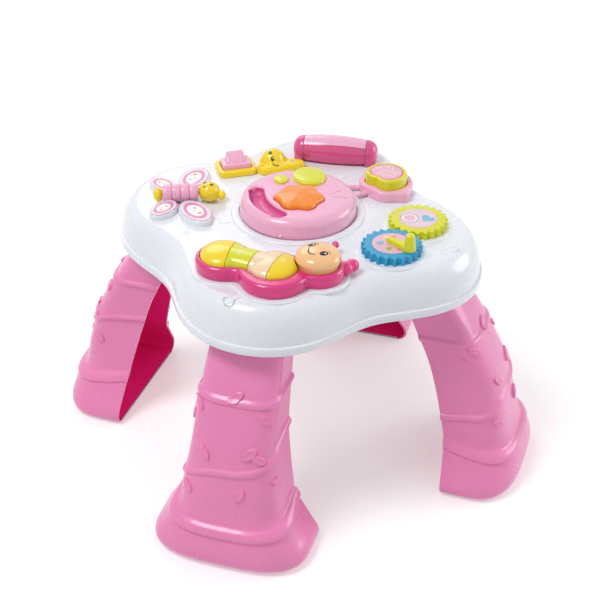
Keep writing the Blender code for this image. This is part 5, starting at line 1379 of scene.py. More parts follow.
def thumb_outline(grow, steps=16):
    half = RECESS_LENGTH / 2 - RECESS_HALF
    width = RECESS_HALF + grow
    bend = RECESS_LENGTH * RECESS_BEND_SHARE

    def spine(x):
        return Vector((x, bend * (1 - (x / half) ** 2) / 2, 0.0))

    side = level((0.0, width))
    upper = [spine(half * (2 * i / steps - 1)) + side for i in range(steps + 1)]
    lower = [spine(half * (1 - 2 * i / steps)) - side for i in range(steps + 1)]
    right = [spine(half) + polar(width, math.pi / 2 * (1 - 2 * i / steps)) for i in range(1, steps)]
    left = [spine(-half) + polar(width, -math.pi / 2 * (1 + 2 * i / steps)) for i in range(1, steps)]
    return list(reversed(upper + right + lower + left))


def lid_profile(steps=16):
    """The lid's outer side: nearly flat, then a broad rounded shoulder."""
    flat = LID_RADIUS * LID_FLAT_SHARE
    outer = [(0.0, LID_TOP + 0.0006), (flat * 0.6, LID_TOP + 0.0003), (flat * 0.9, LID_TOP)]
    for t in quarter(steps):
        outer.append((flat + (LID_RADIUS * LID_SIDE_SHARE - flat) * math.sin(t),
                      LID_SIDE_Z + (LID_TOP - LID_SIDE_Z) * math.cos(t)))
    return outer + [(LID_RADIUS * 0.993, 0.007), (LID_RADIUS, 0.003), (LID_RADIUS - 0.0004, LID_LIFT)]


def lid_wall():
    """The lid's skin: a low drum with a broad rounded shoulder, open underneath."""
    flat = LID_RADIUS * LID_FLAT_SHARE
    outer = lid_profile()
    inner = [(LID_RADIUS - LID_WALL, LID_LIFT), (LID_RADIUS * LID_SIDE_SHARE - LID_WALL, 0.0115),
             (LID_RADIUS * 0.94 - LID_WALL, 0.0175), (LID_RADIUS * 0.87 - LID_WALL, 0.0203),
             (flat - LID_WALL / 2, LID_TOP - LID_WALL), (0.0, LID_TOP - LID_WALL)]
    return spun("lid", outer + inner, PINK, 160)


def hinge_lug(y):
    top = LID_SHOULDER - LID_WALL
    outline = half_circle(level((HINGE_X, HINGE_Z)), HINGE_EYE_RADIUS, math.pi)
    outline += [level((HINGE_X - HINGE_EYE_RADIUS / 3, top)), level((HINGE_X - HINGE_EYE_RADIUS, top))]
    return standing("lug", outline, y, PINK)


def make_lid():
    lid = lid_wall()
    under = LID_TOP - LID_WALL / 2
    around = disc(FLOWER_RADIUS * (1 + FLOWER_LOBE_SHARE) + SLIP + LID_WALL, 96)
    cup = plate("cup", [lid_point(FLOWER_PLACE_SHARE) + p for p in around],
                [(0.0, FLOWER_FLOOR - LID_WALL), (0.0, under)], PINK)
    recess = recess_placing()
    floor = LID_TOP - RECESS_DEPTH
    pocket = moved(plate("pocket", thumb_outline(LID_WALL), [(0.0, floor - LID_WALL), (0.0, under)], PINK),
                   recess)
    wall = [(r - 0.0006, min(z, under)) for r, z in lid_profile() if r > LID_RADIUS * LID_FLAT_SHARE]
    pocket = kept(pocket, spun("inside", [(0.0, under)] + wall + [(0.0, LID_LIFT)], PINK, 160))
    lid = joined(lid, cup, pocket)
    well = opening("well", flower_outline(SLIP), FLOWER_FLOOR, LID_TOP, 0.0012, 0.0004, PINK)
    thumb = opening("thumb", thumb_outline(0.0004), floor, LID_TOP + 0.0001, 0.0034, 0.006, PINK)
    lid = cut(lid, well, moved(thumb, recess))
    back = recess.inverted()
    deep = LID_TOP - 0.0022

    # Painted shade: lid faces lying deep in the thumb recess are picked for the darker pink.
    def in_recess_shade(middle, normal):
        p = back @ middle
        near = abs(p.x) < RECESS_LENGTH / 2 and abs(p.y) < 2.2 * RECESS_HALF
        inside = near and middle.xy.length < LID_RADIUS * 0.90
        return inside and floor - 0.0005 < middle.z < deep and normal.z > -0.2

    lid = shared(lid, RECESS_SHADE_PINK, in_recess_shade)
    lift = raised(LID_TOP + 0.0001)
    marks = [tube("mark", [p + lift for p in flow(points, 6)], 0.0009, PINK, flat=0.7)
             for points in LID_STROKES]
    pip = ball("pip", LID_PIP, polar(LID_RADIUS - 0.0012, LID_PIP_TURN) + raised(0.0045), PINK)
    lug_y = HINGE_SPREAD + HINGE_LEAF + SLIP
    lugs = [hinge_lug(lug_y), hinge_lug(-lug_y - HINGE_LEAF)]
    settle([lid, pip] + marks + lugs, LID_PLACING, "lid_skin", "lid", "pink_plastic", "lid")

    flower = puffed("flower", flower_outline(0.0), lid_point(FLOWER_PLACE_SHARE),
                    [(1.0, FLOWER_BOTTOM)] + crown(LID_TOP + 0.0012, FLOWER_TOP, 0.16, 0.62), ORANGE)
    settle(flower, LID_PLACING, "flower_skin", "flower_button", "orange_plastic", "flower_button")
    reach = FLOWER_RADIUS * (1 + FLOWER_LOBE_SHARE) + LEAF_HALF[0] + LEAF_CLEARANCE
    where = lid_point(FLOWER_PLACE_SHARE) + polar(reach, LEAF_WAY)
    base = LID_TOP + GAP
    leaf = puffed("leaf", oval(LEAF_HALF, LEAF_TURN, where, 96), where,
                  [(1.0, base)] + crown(base + LEAF_HEIGHT * 0.35, base + LEAF_HEIGHT, 0.22), LIME)
    settle(leaf, LID_PLACING, "large_leaf_skin", "lid", "lime_plastic", "large_leaf")
    where = lid_point(SMALL_LEAF_PLACE_SHARE)
    radii = (SMALL_LEAF_HALF[0] * 0.97, SMALL_LEAF_HALF[1] * 0.86)
    outline = []
    for t in circle(72):
        tip = 1 + 0.18 * math.exp(-(math.remainder(t - SMALL_LEAF_TIP_TURN, math.tau) / 0.45) ** 2)
        outline.append(where + spin(LEAF_TURN) @ (on_oval(radii, t) * tip))
    small = puffed("leaf", outline, where,
                   [(1.0, base)] + crown(base + SMALL_LEAF_HEIGHT * 0.3, base + SMALL_LEAF_HEIGHT, 0.3), LIME)
    settle(small, LID_PLACING, "small_leaf_skin", "lid", "lime_plastic", "small_leaf")


def crown(edge, top, width, first=0.82, steps=12):
    """Shares and heights over a soft rounded edge, then up to a nearly flat crown."""
    made = [(1 - width * (1 - math.cos(t)), edge + (top - edge) * first * math.sin(t))
            for t in quarter(steps)]
    start = 1 - width
    for i in range(1, 9):
        share = start * (1 - i / 8.2)
        made.append((share, edge + (top - edge) * (first + (1 - first) * (1 - (share / start) ** 2))))
    return made


# Worm

def key_row_field(grow):
    tail = (TAIL_LOBE - TAIL_MARGIN + grow, TAIL)
    shift = Vector((KEY_OFFSET_SHARE[0] * MIDDLE_LOBE, KEY_OFFSET_SHARE[1] * MIDDLE_LOBE, 0.0))
    middle = (MIDDLE_LOBE - MIDDLE_MARGIN + grow, MIDDLE + shift)

    def field(p):
        return blended([disc_distance(p, tail[1], tail[0]), disc_distance(p, middle[1], middle[0]),
                        neck_distance(p, tail[1], middle[1], KEY_NECK + grow)], 0.0012)
    return field, tail, middle


def make_worm_base():
    low = BORDER_HEIGHT + GAP
    field = worm_field(0.0)
    soft = WORM_EDGE
    profile = [(0.0012, low), (0.0002, low + 0.0016), (0.0, low + 0.004)]
    profile += rounded(BODY_HEIGHT - soft, BODY_HEIGHT, soft, 8)[1:]
    base = field_plate("base", field, traced(field, WORM_START, TRACE_STEP), profile, MAGENTA)
    row, _, _ = key_row_field(SLIP)
    head = [HEAD + p for p in disc(HEAD_KEY_SKIRT + SLIP, 96)]
    base = cut(base, *[opening("pit", outline, low + 0.0006, BODY_HEIGHT, 0.0009, 0.0002, MAGENTA)
                       for outline in (traced(row, WORM_START, TRACE_STEP), head)])
    root = HEAD + Vector(FEELER_ROOT_SHARE).to_3d() * HEAD_LOBE
    knob = HEAD + Vector(FEELER_SHARE).to_3d() * HEAD_LOBE
    lift = raised(FEELER_HEIGHT)
    arch = raised(0.0022)
    way = knob - root
    route = [root + lift, root + way * 0.35 + lift + arch, root + way * 0.7 + lift + arch, knob + lift]
    feeler = [tube("feeler", flow(route), FEELER_STEM * 0.9, MAGENTA),
              ball("knob", [FEELER_RADIUS] * 3, knob + lift, MAGENTA)]
    extras = []
    for radius, share in zip(BOW_RADII, BOW_SHARES):
        at = HEAD + Vector(share).to_3d() * (HEAD_LOBE * BOW_NEARER) + raised(low + BOW_HEIGHT / 2)
        extras.append(ball("bow", (radius, radius, BOW_HEIGHT / 2), at, MAGENTA))
        extras.append(ball("bow", (radius * 0.55, radius * 0.72, BOW_HEIGHT * 0.36),
                           at + Vector((radius * 0.1, -radius * 0.1, BOW_HEIGHT * 0.16)), MAGENTA))
    bow = melted(merged("bow", extras + feeler), MELT_SIZE, 6)
    settle([base, bow], DECK_PLACING, "worm_skin", "table", "magenta_plastic", "worm_base")


def resampled(points, step):
    made = []
    for a, b in zip(points, points[1:] + points[:1]):
        count = max(1, math.ceil((b - a).length / step))
        made += [a.lerp(b, i / count) for i in range(count)]
    return made


def clipped(points, origin, normal):
    """The part of a closed outline on the far side of a line."""
    made = []
    for a, b in zip(points, points[1:] + points[:1]):
        da, db = (a - origin).dot(normal), (b - origin).dot(normal)
        if da >= 0:
            made.append(a)
        if (da >= 0) != (db >= 0):
            made.append(a.lerp(b, da / (da - db)))
    return made


def key_height(p, tail, middle):
    """The height of the row of keys over a point of the deck."""
    shares = [(p - at).to_2d().length / radius for radius, at in (tail, middle)]
    shares.append(neck_distance(p, tail[1], middle[1], 0.0) / KEY_NECK)
    best = max(math.sqrt(max(0.0, 1 - share * share)) for share in shares)
    return BODY_HEIGHT + (KEY_TOP - BODY_HEIGHT) * best


def make_keys():
    row, tail, middle = key_row_field(0.0)
    whole = traced(row, WORM_START, KEY_OUTLINE_STEP)
    lines = [(MIDDLE + polar(share * BODY_PITCH, TAIL_TURN), polar(1.0, turn))
             for share, turn in zip(KEY_CUT_SHARES, KEY_CUT_TURNS)]
    spine = polar(1.0, TAIL_TURN)
    looks = ((YELLOW, "yellow_plastic"), (LIME, "lime_plastic"), (PEACH, "peach_plastic"),
             (YELLOW, "yellow_plastic"))

    def surface(s, t):
        p = Vector((s, t, 0.0))
        step = 0.0003
        z = key_height(p, tail, middle)
        dx = key_height(p + Vector((step, 0, 0)), tail, middle) - z
        dy = key_height(p + Vector((0, step, 0)), tail, middle) - z
        return Vector((s, t, z)), Vector((-dx / step, -dy / step, 1.0)).normalized()

    for number, (finish, slot) in enumerate(looks):
        outline = whole
        for (at, way), side in key_sides(lines, number):
            normal = Vector((-way.y, way.x, 0.0))
            normal *= side * math.copysign(1.0, normal.dot(spine))
            outline = clipped(outline, at + normal * (SLIP / 2), normal)
        outline = resampled(outline, KEY_OUTLINE_STEP)
        if number == 3:
            clear = HEAD_KEY_RADIUS + SLIP
            outline = [HEAD + (p - HEAD) * max(1.0, clear / max((p - HEAD).to_2d().length, 1e-6))
                       for p in outline]
        center = sum(outline, Vector()) / len(outline)
        ways = outward(outline)
        rings = [[p + raised(KEY_BOTTOM) for p in outline]]
        for t in quarter(5):
            ring = [p - way * (KEY_EDGE * (1 - math.cos(t))) for p, way in zip(outline, ways)]
            drop = KEY_EDGE * (1 - math.sin(t))
            rings.append([level(q.xy) + raised(key_height(q, tail, middle) - drop) for q in ring])
        last = [level(p.xy) for p in rings[-1]]
        for i in range(1, 15):
            ring = [center + (p - center) * (1 - i / 14.4) for p in last]
            rings.append([level(q.xy) + raised(key_height(q, tail, middle)) for q in ring])
        shapes = [loft("key", rings, finish, angle=55)]
        for at, size, turn in KEY_MARKS.get(number + 1, ()):
            shapes += petals(surface, at, size, KEY_MARK_INKS[number + 1], 4, turn)
        name = "key_" + str(number + 1)
        settle(shapes, DECK_PLACING, name + "_skin", name, slot, name)


def key_sides(lines, number):
    """The dividing lines that bound a key, and on which side of each it lies along the spine."""
    sides = [(line, -1) for line in lines[number - 1:number]] if number else []
    return sides + [(line, 1) for line in lines[number:number + 1]]


def make_head_key():
    waist = BODY_HEIGHT + KEY_TRAVEL + SLIP
    low = waist + LOBE_ROUND
    turns = [math.pi / 2 * (1 - i / 28) for i in range(29)]
    profile = [(HEAD_KEY_RADIUS * math.cos(t) ** 0.9, low + (HEAD_KEY_TOP - low) * math.sin(t) ** 0.8)
               for t in turns]
    profile[0] = (0.0, HEAD_KEY_TOP)
    profile += [(HEAD_KEY_SKIRT, waist), (HEAD_KEY_SKIRT, KEY_BOTTOM), (0.0, KEY_BOTTOM)]
    shapes = [spun("head", profile, HEAD_PEACH, 112)]
    face = dome_surface(profile[:29])
    side = polar(BROW_HALF, HEAD_FACE_TURN)
    for at in HEAD_EYES:
        shapes += eye(face, at, HEAD_EYE, HEAD_FACE_TURN)
        brow = level(at) + polar(BROW_RISE, HEAD_FACE_TURN + math.pi / 2)
        arch = brow + polar(BROW_BEND, HEAD_FACE_TURN + math.pi / 2)
        shapes.append(stroke([brow - side, arch, brow + side], face, BLACK, 0.00035))
    shapes.append(stroke(HEAD_SMILE, face, BLACK, 0.0007))
    settle(shapes, frame_at(HEAD, DECK_Z), "head_key_skin", "head_key", "peach_plastic", "head_key")


# Butterfly

def make_butterfly():
    half = ROLLER_LENGTH / 2
    rib = ROLLER_LENGTH / ROLLER_RIBS
    outer = []
    for i in range(ROLLER_RIBS):
        for k in range(13):
            t = k / 12
            swell = math.sin(math.pi * t) ** 0.3
            outer.append((ROLLER_RADIUS - ROLLER_GROOVE * 1.5 * (1 - swell), half - (i + t) * rib))
    bore = AXLE_RADIUS + RUNNING_FIT
    profile = [(bore, half)] + outer + [(bore, -half), (bore, half)]
    roller = moved(spun("roller", profile, PINK, 96, 50), Matrix.Rotation(math.pi / 2, 4, "Y"))
    base = BUTTERFLY_PLACING @ Matrix.Translation((0.0, 0.0, ROLLER_Z))
    settle(roller, base, "roller_skin", "roller", "pink_plastic", "butterfly_roller")

    head = melted(merged("head", [ball("head", INSECT_HEAD, (INSECT_HEAD_X, 0.0, ROLLER_Z), YELLOW),
                                  ball("horn", HORN, (HORN_X, HORN_Y, HORN_Z), YELLOW)]), MELT_SIZE, 6)
    head = cut(head, room((-ROOM, half + GAP), (-ROOM, ROOM), (-ROOM, ROOM), YELLOW), below_deck(YELLOW))
    face = ball_surface((INSECT_HEAD_X, 0.0, ROLLER_Z), INSECT_HEAD, INSECT_FACING)
    shapes = [head]
    for at in INSECT_EYES:
        shapes += eye(face, at, INSECT_EYE)
    shapes.append(stroke(INSECT_SMILE, face, BLACK, 0.0004, 0.0002))
    settle(shapes, BUTTERFLY_PLACING, "insect_head_skin", "table", "yellow_plastic", "butterfly_head")
    tail = ball("tail", (INSECT_TAIL[0] * 0.7, INSECT_TAIL[1] * 0.85, INSECT_TAIL[2] * 0.75),
                (INSECT_TAIL_X, 0.0, ROLLER_Z * 0.9), YELLOW)
    tail = cut(tail, room((-half - GAP, ROOM), (-ROOM, ROOM), (-ROOM, ROOM), YELLOW), below_deck(YELLOW))
    settle(tail, BUTTERFLY_PLACING, "insect_tail_skin", "table", "yellow_plastic", "butterfly_tail")
    top = flat_surface(WING_HEIGHT)
    prints = []
    for radii, at, turn in wings():
        lift = 0.00006
        outline = teardrop(radii, at, turn)
        for share, tint in WING_BANDS:
            lift += 0.00004
            prints.append(patch([level(at).lerp(p, share) for p in outline], top, tint, lift, level(at)))
        for along, across, size, tint in WING_SPOTS:
            spot = level(at) + spin(turn) @ Vector((radii[0] * along, radii[1] * across, 0.0))
            outline = oval((radii[0] * size, radii[0] * size * 0.8), turn, spot, 20)
            prints.append(patch(outline, top, WING_INKS[tint], lift + 0.00004))
        for k in range(14):
            t = math.tau * (k + 0.5) / 14
            spot = level(at) + spin(turn) @ (on_oval(radii, t) * 0.76)
            prints.append(patch(oval(WING_DASH, turn + t, spot, 10), top, WING_INKS[k % 3], lift - 0.00005))
    settle(prints, BUTTERFLY_PLACING, "wing_prints", "table", "white_plastic")


# Push block and giraffe

def rounded_box(size, corner, steps=8):
    points = []
    for number, (sx, sy) in enumerate(((1, 1), (-1, 1), (-1, -1), (1, -1))):
        middle = Vector((sx * (size[0] / 2 - corner), sy * (size[1] / 2 - corner), 0.0))
        points += [middle + polar(corner, math.pi / 2 * (number + i / steps)) for i in range(steps + 1)]
    return points


def make_switch():
    profile = seated(0.0006, TRAY_HEIGHT, 0.0028)
    tray = plate("tray", rounded_box(TRAY_SIZE, TRAY_CORNER), profile, YELLOW)
    pit_size = [size + 2 * SLIP for size in BLOCK_SIZE]
    pit = opening("pit", rounded_box(pit_size, 0.0012), TRAY_FLOOR, TRAY_HEIGHT, 0.0012, 0.0003, YELLOW)
    tray = cut(tray, pit)
    settle(tray, TRAY_PLACING, "tray_skin", "table", "yellow_plastic", "switch_tray")
    block = plate("block", rounded_box(BLOCK_SIZE, 0.0016),
                  rounded(BLOCK_BOTTOM, BLOCK_STEP, 0.0011, 5), PINK)
    bm = bmesh.new()
    bmesh.ops.create_cube(bm, size=1.0)
    for vert in bm.verts:
        upper = vert.co.z > 0
        across = HUMP_TOP_SIZE if upper else HUMP_SIZE
        y = vert.co.y * across[1] + HUMP_BACK * upper
        z = BLOCK_TOP if upper else BLOCK_STEP - GAP
        if upper and y < HUMP_BACK:
            z -= (BLOCK_TOP - BLOCK_STEP) / 4
        vert.co = (vert.co.x * across[0], y, z)
    hump = softened(from_bmesh(bm, "hump", PINK), 0.0013, 4, 30)
    settle([block, hump], TRAY_PLACING, "block_skin", "push_block", "pink_plastic", "push_block")


def giraffe_point(share):
    return Vector(share).to_3d() * GIRAFFE_LENGTH


def make_giraffe():
    outline = flow([giraffe_point(share) for share in GIRAFFE_OUTLINE_SHARES], 8, True)
    lumps = [(SHOWN_HEAD, GIRAFFE_HEAD_SHARE), (GIRAFFE_MUZZLE, GIRAFFE_MUZZLE_SHARE)]
    lumps += [(GIRAFFE_EAR, share) for share in GIRAFFE_EAR_SHARES]
    shapes = [plate("body", outline, seated(0.0004, GIRAFFE_HEIGHT, 0.0045), YELLOW)]
    shapes += [ball("lump", radii, giraffe_point(share), YELLOW) for radii, share in lumps]
    body = melted(merged("giraffe", shapes), 0.0007, 10)
    tray = plate("room", rounded_box([size + 2 * SLIP for size in TRAY_SIZE], TRAY_CORNER),
                 [(0.0, -0.01), (0.0, 0.05)], YELLOW)
    body = cut(body, below_deck(YELLOW), moved(tray, GIRAFFE_PLACING.inverted() @ TRAY_PLACING))
    shapes = [body]
    head = ball_surface(giraffe_point(GIRAFFE_HEAD_SHARE), SHOWN_HEAD, GIRAFFE_FACING)
    for at in GIRAFFE_EYES:
        shapes += eye(head, at, GIRAFFE_EYE, 0.2)
    muzzle = ball_surface(giraffe_point(GIRAFFE_MUZZLE_SHARE), GIRAFFE_MUZZLE, GIRAFFE_FACING)
    shapes.append(stroke(GIRAFFE_SMILE, muzzle, BLACK, 0.00045, 0.0003))
    for corner in GIRAFFE_TRIANGLES:
        shapes.append(patch([level(p) for p in corner], flat_surface(GIRAFFE_HEIGHT), BLUE_MARK, 0.0002))
    settle(shapes, GIRAFFE_PLACING, "giraffe_skin", "table", "yellow_plastic", "giraffe")


# Bead barrel

LAID = Matrix.Translation((0.0, 0.0, BARREL_Z)) @ Matrix.Rotation(math.pi / 2, 4, "Y")


def barrel_rows(half, inset, count=30):
    places = [half - 2 * half * i / count for i in range(count + 1)]
    return [(barrel_radius(x) - inset, x) for x in places]


def barrel_tube(half, bore, finish):
    """The drum's wall, with end discs where it has a bore."""
    outer = barrel_rows(half, 0.0)
    if bore:
        inner = barrel_rows(half - DRUM_WALL, DRUM_WALL)[::-1]
        inner = [(bore, -half), (bore, DRUM_WALL - half)] + inner + [(bore, half - DRUM_WALL), (bore, half)]
    else:
        inner = barrel_rows(half, DRUM_WALL)[::-1]
    return moved(spun("drum", outer + inner + [outer[0]], finish, 120), LAID)


def window_room(half, start, finish):
    width = 2 * BARREL_RADIUS
    made = room((-half, half), (-start - width, -start), (-width, width), finish)
    turn = Matrix.Rotation(SHOWN_TURN - WINDOW_TILT, 4, "X")
    return moved(made, Matrix.Translation((0.0, 0.0, BARREL_Z)) @ turn)


def make_barrel():
    panel = cut(barrel_tube(DRUM_HALF, DRUM_PIN_RADIUS + RUNNING_FIT, PINK),
                window_room(SHOWN_WINDOW_HALF, WINDOW_CUT, PINK))
    settle(panel, BARREL_PLACING, "barrel_panel_skin", "barrel", "pink_plastic", "barrel_panel")
    window = barrel_tube(SHOWN_WINDOW_HALF - GAP, 0.0, WINDOW)
    window = kept(window, window_room(SHOWN_WINDOW_HALF - GAP, WINDOW_CUT + GAP, WINDOW))
    settle(window, BARREL_PLACING, "barrel_window_skin", "barrel", "window_plastic", "barrel_window")
    for side, word in ((-1, "left"), (1, "right")):
        face = DRUM_HALF + 2 * GAP
        rim = BARREL_END_RADIUS
        turns = [math.pi / 2 * (1 - i / 20) for i in range(1, 21)]
        profile = [(0.0, BARREL_HALF)]
        profile += [(rim * math.cos(t) ** 0.8, face + (BARREL_HALF - face) * math.sin(t)) for t in turns]
        profile += [(DRUM_PIN_RADIUS, face), (DRUM_PIN_RADIUS, face - DRUM_PIN_LENGTH),
                    (0.0, face - DRUM_PIN_LENGTH)]
        cap = spun("cap", profile, ROSE, 80)
        if side < 0:
            moved(cap, Matrix.Rotation(math.pi, 4, "X"))
        far = BARREL_HALF - DRUM_WALL
        half = rim - GAP
        corners = ((face + GAP, -half), (far, -rim / 2), (far, rim / 2), (face + GAP, half))
        foot = plate("foot", [level((side * x, y)) for x, y in corners[::side]],
                     [(0.0, -DRUM_WALL), (0.0, BARREL_Z - DRUM_WALL)], ROSE)
        cap = cut(joined(moved(cap, LAID), foot), below_deck(ROSE))
        name = "barrel_cap_" + word
        settle(cap, BARREL_PLACING, name + "_skin", "table", "magenta_plastic", name)
    for number, (finish, slot) in enumerate(BEAD_LOOKS, 1):
        node = "barrel_bead_" + str(number)
        low, high = (Vector(corner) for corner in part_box(node))
        bead = ball("bead", [BEAD_RADIUS] * 3, (low + high) / 2, finish)
        put(bead, "bead_" + str(number) + "_skin", "barrel", slot, node)


# Apple

def apple_outline(radius, tip=0.0, more=0.0, sides=140):
    points = []
    for angle in circle(sides):
        dent = math.remainder(angle - APPLE_DENT_TURN, math.tau) / math.radians(26)
        leaf = math.remainder(angle - APPLE_TIP_TURN, math.tau) / math.radians(14)
        share = 1 - (APPLE_DENT_SHARE + more) * math.exp(-dent ** 2) + tip * math.exp(-leaf ** 2)
        points.append(polar(radius * share, angle))
    return points


def make_apple():
    profile = seated(0.0005, APPLE_HEIGHT, 0.003)
    body = plate("apple", apple_outline(APPLE_RADIUS, APPLE_TIP_SHARE), profile, ROSE_PINK)
    pit = opening("pit", apple_outline(APPLE_BUTTON_RADIUS + SLIP, 0.0, MORE_DENT), APPLE_FLOOR, APPLE_HEIGHT,
                  0.0012, 0.0003, ROSE_PINK)
    shapes = [cut(body, pit)]
    thin = PRONG_RADIUS * 0.94
    for reach, turn in zip(PRONG_REACH_SHARES, PRONG_TURNS):
        lift = raised(PRONG_RADIUS + 2 * GAP)
        near = polar(APPLE_RADIUS * 0.86, turn) + lift
        far = polar(APPLE_RADIUS * reach, turn) + lift
        route = [near] + [near.lerp(far, share) for share in (0.4, 0.85, 0.97)]
        shapes += [tube("prong", route, thin, ROSE_PINK), ball("tip", [thin] * 3, route[-1], ROSE_PINK)]
    settle(shapes, APPLE_PLACING, "apple_skin", "table", "pink_plastic", "apple_base")
    top = APPLE_BUTTON_TOP
    button = plate("button", apple_outline(APPLE_BUTTON_RADIUS, 0.0, MORE_DENT),
                   rounded(APPLE_BUTTON_BOTTOM, top, 0.0028, 8), LIME)
    under = top - APPLE_INSERT_THICK
    seat = apple_outline(APPLE_BUTTON_RADIUS * SHOWN_INSERT_SHARE + GAP, 0.0, MORE_DENT)
    button = cut(button, opening("seat", seat, under - GAP, top, 0.0004, 0.0001, LIME))
    settle(button, APPLE_PLACING, "apple_button_skin", "apple_button", "lime_plastic", "apple_button")
    outline = apple_outline(APPLE_BUTTON_RADIUS * SHOWN_INSERT_SHARE, 0.0, MORE_DENT)
    insert = plate("insert", outline,
                   [(0.0, under), (0.0, top - 0.0003), (0.0003, top - 0.0001), (0.0012, top)], PINK_INK)
    glint = patch([p * 0.9 for p in outline], flat_surface(top), GLITTER, 0.00012)
    settle([insert, glint], APPLE_PLACING, "apple_insert_skin", "apple_button", "glitter_insert",
           "apple_insert")


# Gears

def gear_outline(turn, rise):
    made = []
    for t in circle(GEAR_TEETH * 14):
        wave = math.cos(GEAR_TEETH * (t - turn))
        wave = math.copysign(abs(wave) ** TOOTH_POWER, wave)
        made.append(polar(GEAR_RADIUS + rise * TOOTH_HALF * wave, t))
    return made


def make_gear(name, finish, slot, where, turn, rise, prints):
    low = BORDER_HEIGHT + GAP
    above = GEAR_TOP + 0.002
    gear = plate("gear", gear_outline(turn, rise), rounded(low, GEAR_TOP, 0.0012, 5), finish)
    bore = plate("bore", disc(POST_RADIUS + RUNNING_FIT, 48), [(0.0, low - 0.002), (0.0, above)], finish)
    seat = plate("seat", disc(CAP_RADIUS + SLIP, 64),
                 [(0.0, GEAR_TOP - CAP_THICK - 2 * GAP), (0.0, above)], finish)
    shapes = [cut(gear, bore, seat)] + prints
    settle(shapes, frame_at(where, DECK_Z), name + "_skin", name, slot, name)


def gear_prints(prints):
    """Prints of a gear, from (outline, finish, lift, middle) rows."""
    top = flat_surface(GEAR_TOP)
    return [patch(outline, top, finish, lift, middle) for outline, finish, lift, middle in prints]


def lime_prints():
    at = GEAR_DISC_PLACE
    made = [(disc(STICKER_RADIUS, 96), PALE_PINK_INK, 0.00012, None),
            (disc(0.0203, 96), PALE_LILAC_INK, 0.00016, None)]
    made += [(oval((0.0005, 0.0010), t, level(at) + polar(0.0098, t), 8), GREY_INK, 0.00020, None)
             for t in circle(26)]
    made += [(disc(0.0086, 40, at), WHITE_INK, 0.00020, None),
             (disc(0.0066, 40, at), PALE_PINK_INK, 0.00024, None),
             (heart(0.0082, math.radians(-70), GEAR_HEART_PLACE), BLUE_MARK, 0.00022,
              level(GEAR_HEART_PLACE))]
    return gear_prints(made)


def turquoise_prints():
    made = gear_prints([(disc(STICKER_RADIUS, 96), PALE_PINK_INK, 0.00012, None),
                        (oval((0.0050, 0.0036), 0.4, (-0.0105, 0.0065), 24), BLUE_MARK, 0.00018, None)])
    for at, size, finish, turn in GEAR_FLOWERS:
        made += petals(flat_surface(GEAR_TOP), at, size, finish, 5, turn, 0.0002)
    rest = [(heart(size, turn, at), PINK_INK, 0.00018, level(at)) for at, size, turn in GEAR_HEARTS]
    rest.append((oval((0.0030, 0.0024), 0.0, (0.0010, 0.0150), 20), PALE_YELLOW_INK, 0.00018, None))
    rest += [(disc(0.0007, 10, polar(0.0176, math.radians(140 + 22 * i))), PINK_INK, 0.00018, None)
             for i in range(9)]
    return made + gear_prints(rest)


def make_gears():
    make_gear("gear_turquoise", TURQUOISE, "turquoise_plastic", GEAR_FIRST, GEAR_LINE_TURN, 1,
              turquoise_prints())
    make_gear("gear_lime", LIME, "lime_plastic", GEAR_SECOND, GEAR_LINE_TURN + math.pi, -1, lime_prints())
    low = GEAR_TOP + 2 * GAP
    out = polar(HANDLE_LENGTH, HANDLE_TURN)
    round_end = half_circle(out, KNOB_RADIUS, HANDLE_TURN - math.pi / 2, 24)
    tip = polar(-HANDLE_TAIL_LENGTH, HANDLE_TURN)
    side = polar(KNOB_RADIUS / 3, HANDLE_TURN + math.pi / 2)
    blade = plate("blade", resampled([tip + side, tip - side] + round_end, 0.0012),
                  rounded(low, low + HANDLE_PLATE, 0.0013, 5), LIME)
    soft = KNOB_TOP_RADIUS * 0.55
    foot = low + HANDLE_PLATE * 0.8
    profile = [(0.0, KNOB_TOP)]
    profile += [(KNOB_TOP_RADIUS - soft + soft * math.sin(t), KNOB_TOP - soft * (1 - math.cos(t)))
                for t in quarter(8)]
    profile += [((KNOB_TOP_RADIUS + KNOB_RADIUS) / 2, (KNOB_TOP + low) / 2), (KNOB_RADIUS - 0.0002, foot),
                (0.0, foot)]
    knob = moved(spun("knob", profile, LIME, 64), frame_at(out))
    settle([blade, knob], frame_at(GEAR_FIRST, DECK_Z), "crank_skin", "gear_turquoise", "lime_plastic",
           "crank_handle")


# Finishes of the solids that stay

def dress_nodes():
    finishes = {"base_cover": WHITE, "battery_door": WHITE, "power_switch": DARK, "main_board": BOARD,
                "key_board": BOARD, "key_mat": SILICONE, "speaker": DARK, "lid_pin": STEEL,
                "lid_mirror": MIRROR, "roller_axle": STEEL, "gear_turquoise_cap": STEEL,
                "gear_lime_cap": STEEL}
    finishes.update({"battery_cell_" + str(i): CELL for i in (1, 2, 3)})
    finishes.update({name: SILICONE for name in ("flower_dome", "block_dome", "apple_dome")})
    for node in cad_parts:
        finish = finishes.get(node, STEEL if "screw" in node else None)
        if finish:
            for slot in bpy.data.objects[node].material_slots:
                slot.material = finish


# Camera, lights and floor

def make_camera():
    """A long lens from the front left, a little above."""
    side, rise = (math.radians(angle) for angle in CAMERA_ANGLES)
    back = Vector((math.sin(side) * math.cos(rise), -math.cos(side) * math.cos(rise), math.sin(rise)))
    right = Vector((math.cos(side), math.sin(side), 0.0))
    turn = Matrix((right, back.cross(right), back)).transposed().to_4x4()
    lens = bpy.data.cameras.new("camera")
    lens.lens = CAMERA_LENS
    lens.shift_x, lens.shift_y = CAMERA_SHIFT
    camera = linked("camera", lens)
    camera.matrix_world = Matrix.Translation(Vector(CAMERA_TARGET) + back * CAMERA_DISTANCE) @ turn
    bpy.context.scene.camera = camera


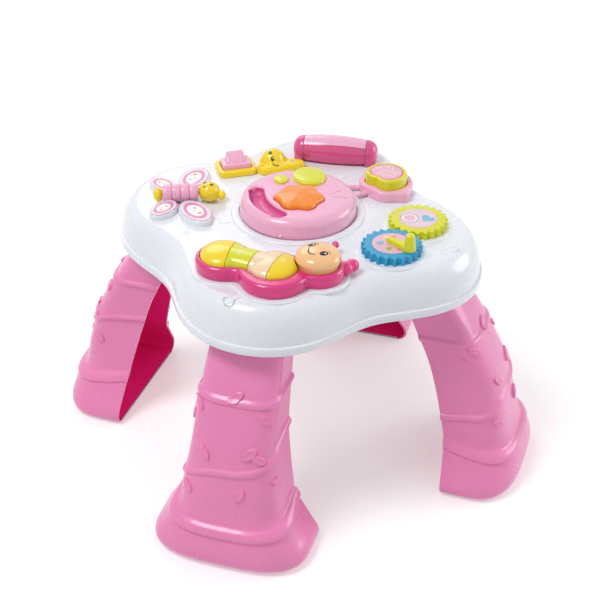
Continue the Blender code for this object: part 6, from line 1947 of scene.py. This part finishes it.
def make_light(name, at, size, power, aim=(0.0, 0.0, 0.2)):
    lamp = bpy.data.lights.new(name, "AREA")
    lamp.shape = "DISK"
    lamp.size = size
    lamp.energy = power
    way = Vector(aim) - Vector(at)
    turn = way.to_track_quat("-Z", "Y").to_matrix().to_4x4()
    linked(name, lamp).matrix_world = Matrix.Translation(at) @ turn


def seen_directly(nodes, links):
    """1 for what the camera sees itself or in a clear or glossy surface."""
    path = nodes.new("ShaderNodeLightPath")
    first = nodes.new("ShaderNodeMath")
    second = nodes.new("ShaderNodeMath")
    second.use_clamp = True
    links.new(path.outputs["Is Camera Ray"], first.inputs[0])
    links.new(path.outputs["Is Glossy Ray"], first.inputs[1])
    links.new(first.outputs[0], second.inputs[0])
    links.new(path.outputs["Is Transmission Ray"], second.inputs[1])
    return second.outputs[0]


def make_floor():
    bpy.ops.mesh.primitive_plane_add(size=12.0, location=(0.0, 0.0, 0.0))
    floor = bpy.context.active_object
    floor.name = "floor"
    made, nodes, links, shader = new_material("pale_floor")
    toned(nodes, links, noise(nodes, links, 3).outputs["Fac"], shader, ([0.84] * 3, [0.87] * 3))
    shader.inputs["Roughness"].default_value = 0.8
    glow = nodes.new("ShaderNodeMath")
    glow.operation = "MULTIPLY"
    glow.inputs[1].default_value = FLOOR_GLOW
    links.new(seen_directly(nodes, links), glow.inputs[0])
    shader.inputs["Emission Color"].default_value = (1, 1, 1, 1)
    links.new(glow.outputs[0], shader.inputs["Emission Strength"])
    floor.data.materials.append(made)


def make_world():
    world = bpy.data.worlds.new("studio")
    world.use_nodes = True
    bpy.context.scene.world = world
    nodes, links = world.node_tree.nodes, world.node_tree.links
    sky = nodes["Background"]
    sky.inputs["Color"].default_value = (1, 1, 1, 1)
    mix = nodes.new("ShaderNodeMapRange")
    mix.inputs["To Min"].default_value = WORLD_LIGHT
    mix.inputs["To Max"].default_value = 1.0
    links.new(seen_directly(nodes, links), mix.inputs["Value"])
    links.new(mix.outputs["Result"], sky.inputs["Strength"])


make_camera()
make_top()
make_legs()
make_lid()
make_worm_base()
make_keys()
make_head_key()
make_butterfly()
make_switch()
make_giraffe()
make_barrel()
make_apple()
make_gears()
dress_nodes()
make_floor()
make_world()
for lamp in LAMPS:
    make_light(*lamp)
bpy.context.scene.view_settings.view_transform = "Standard"
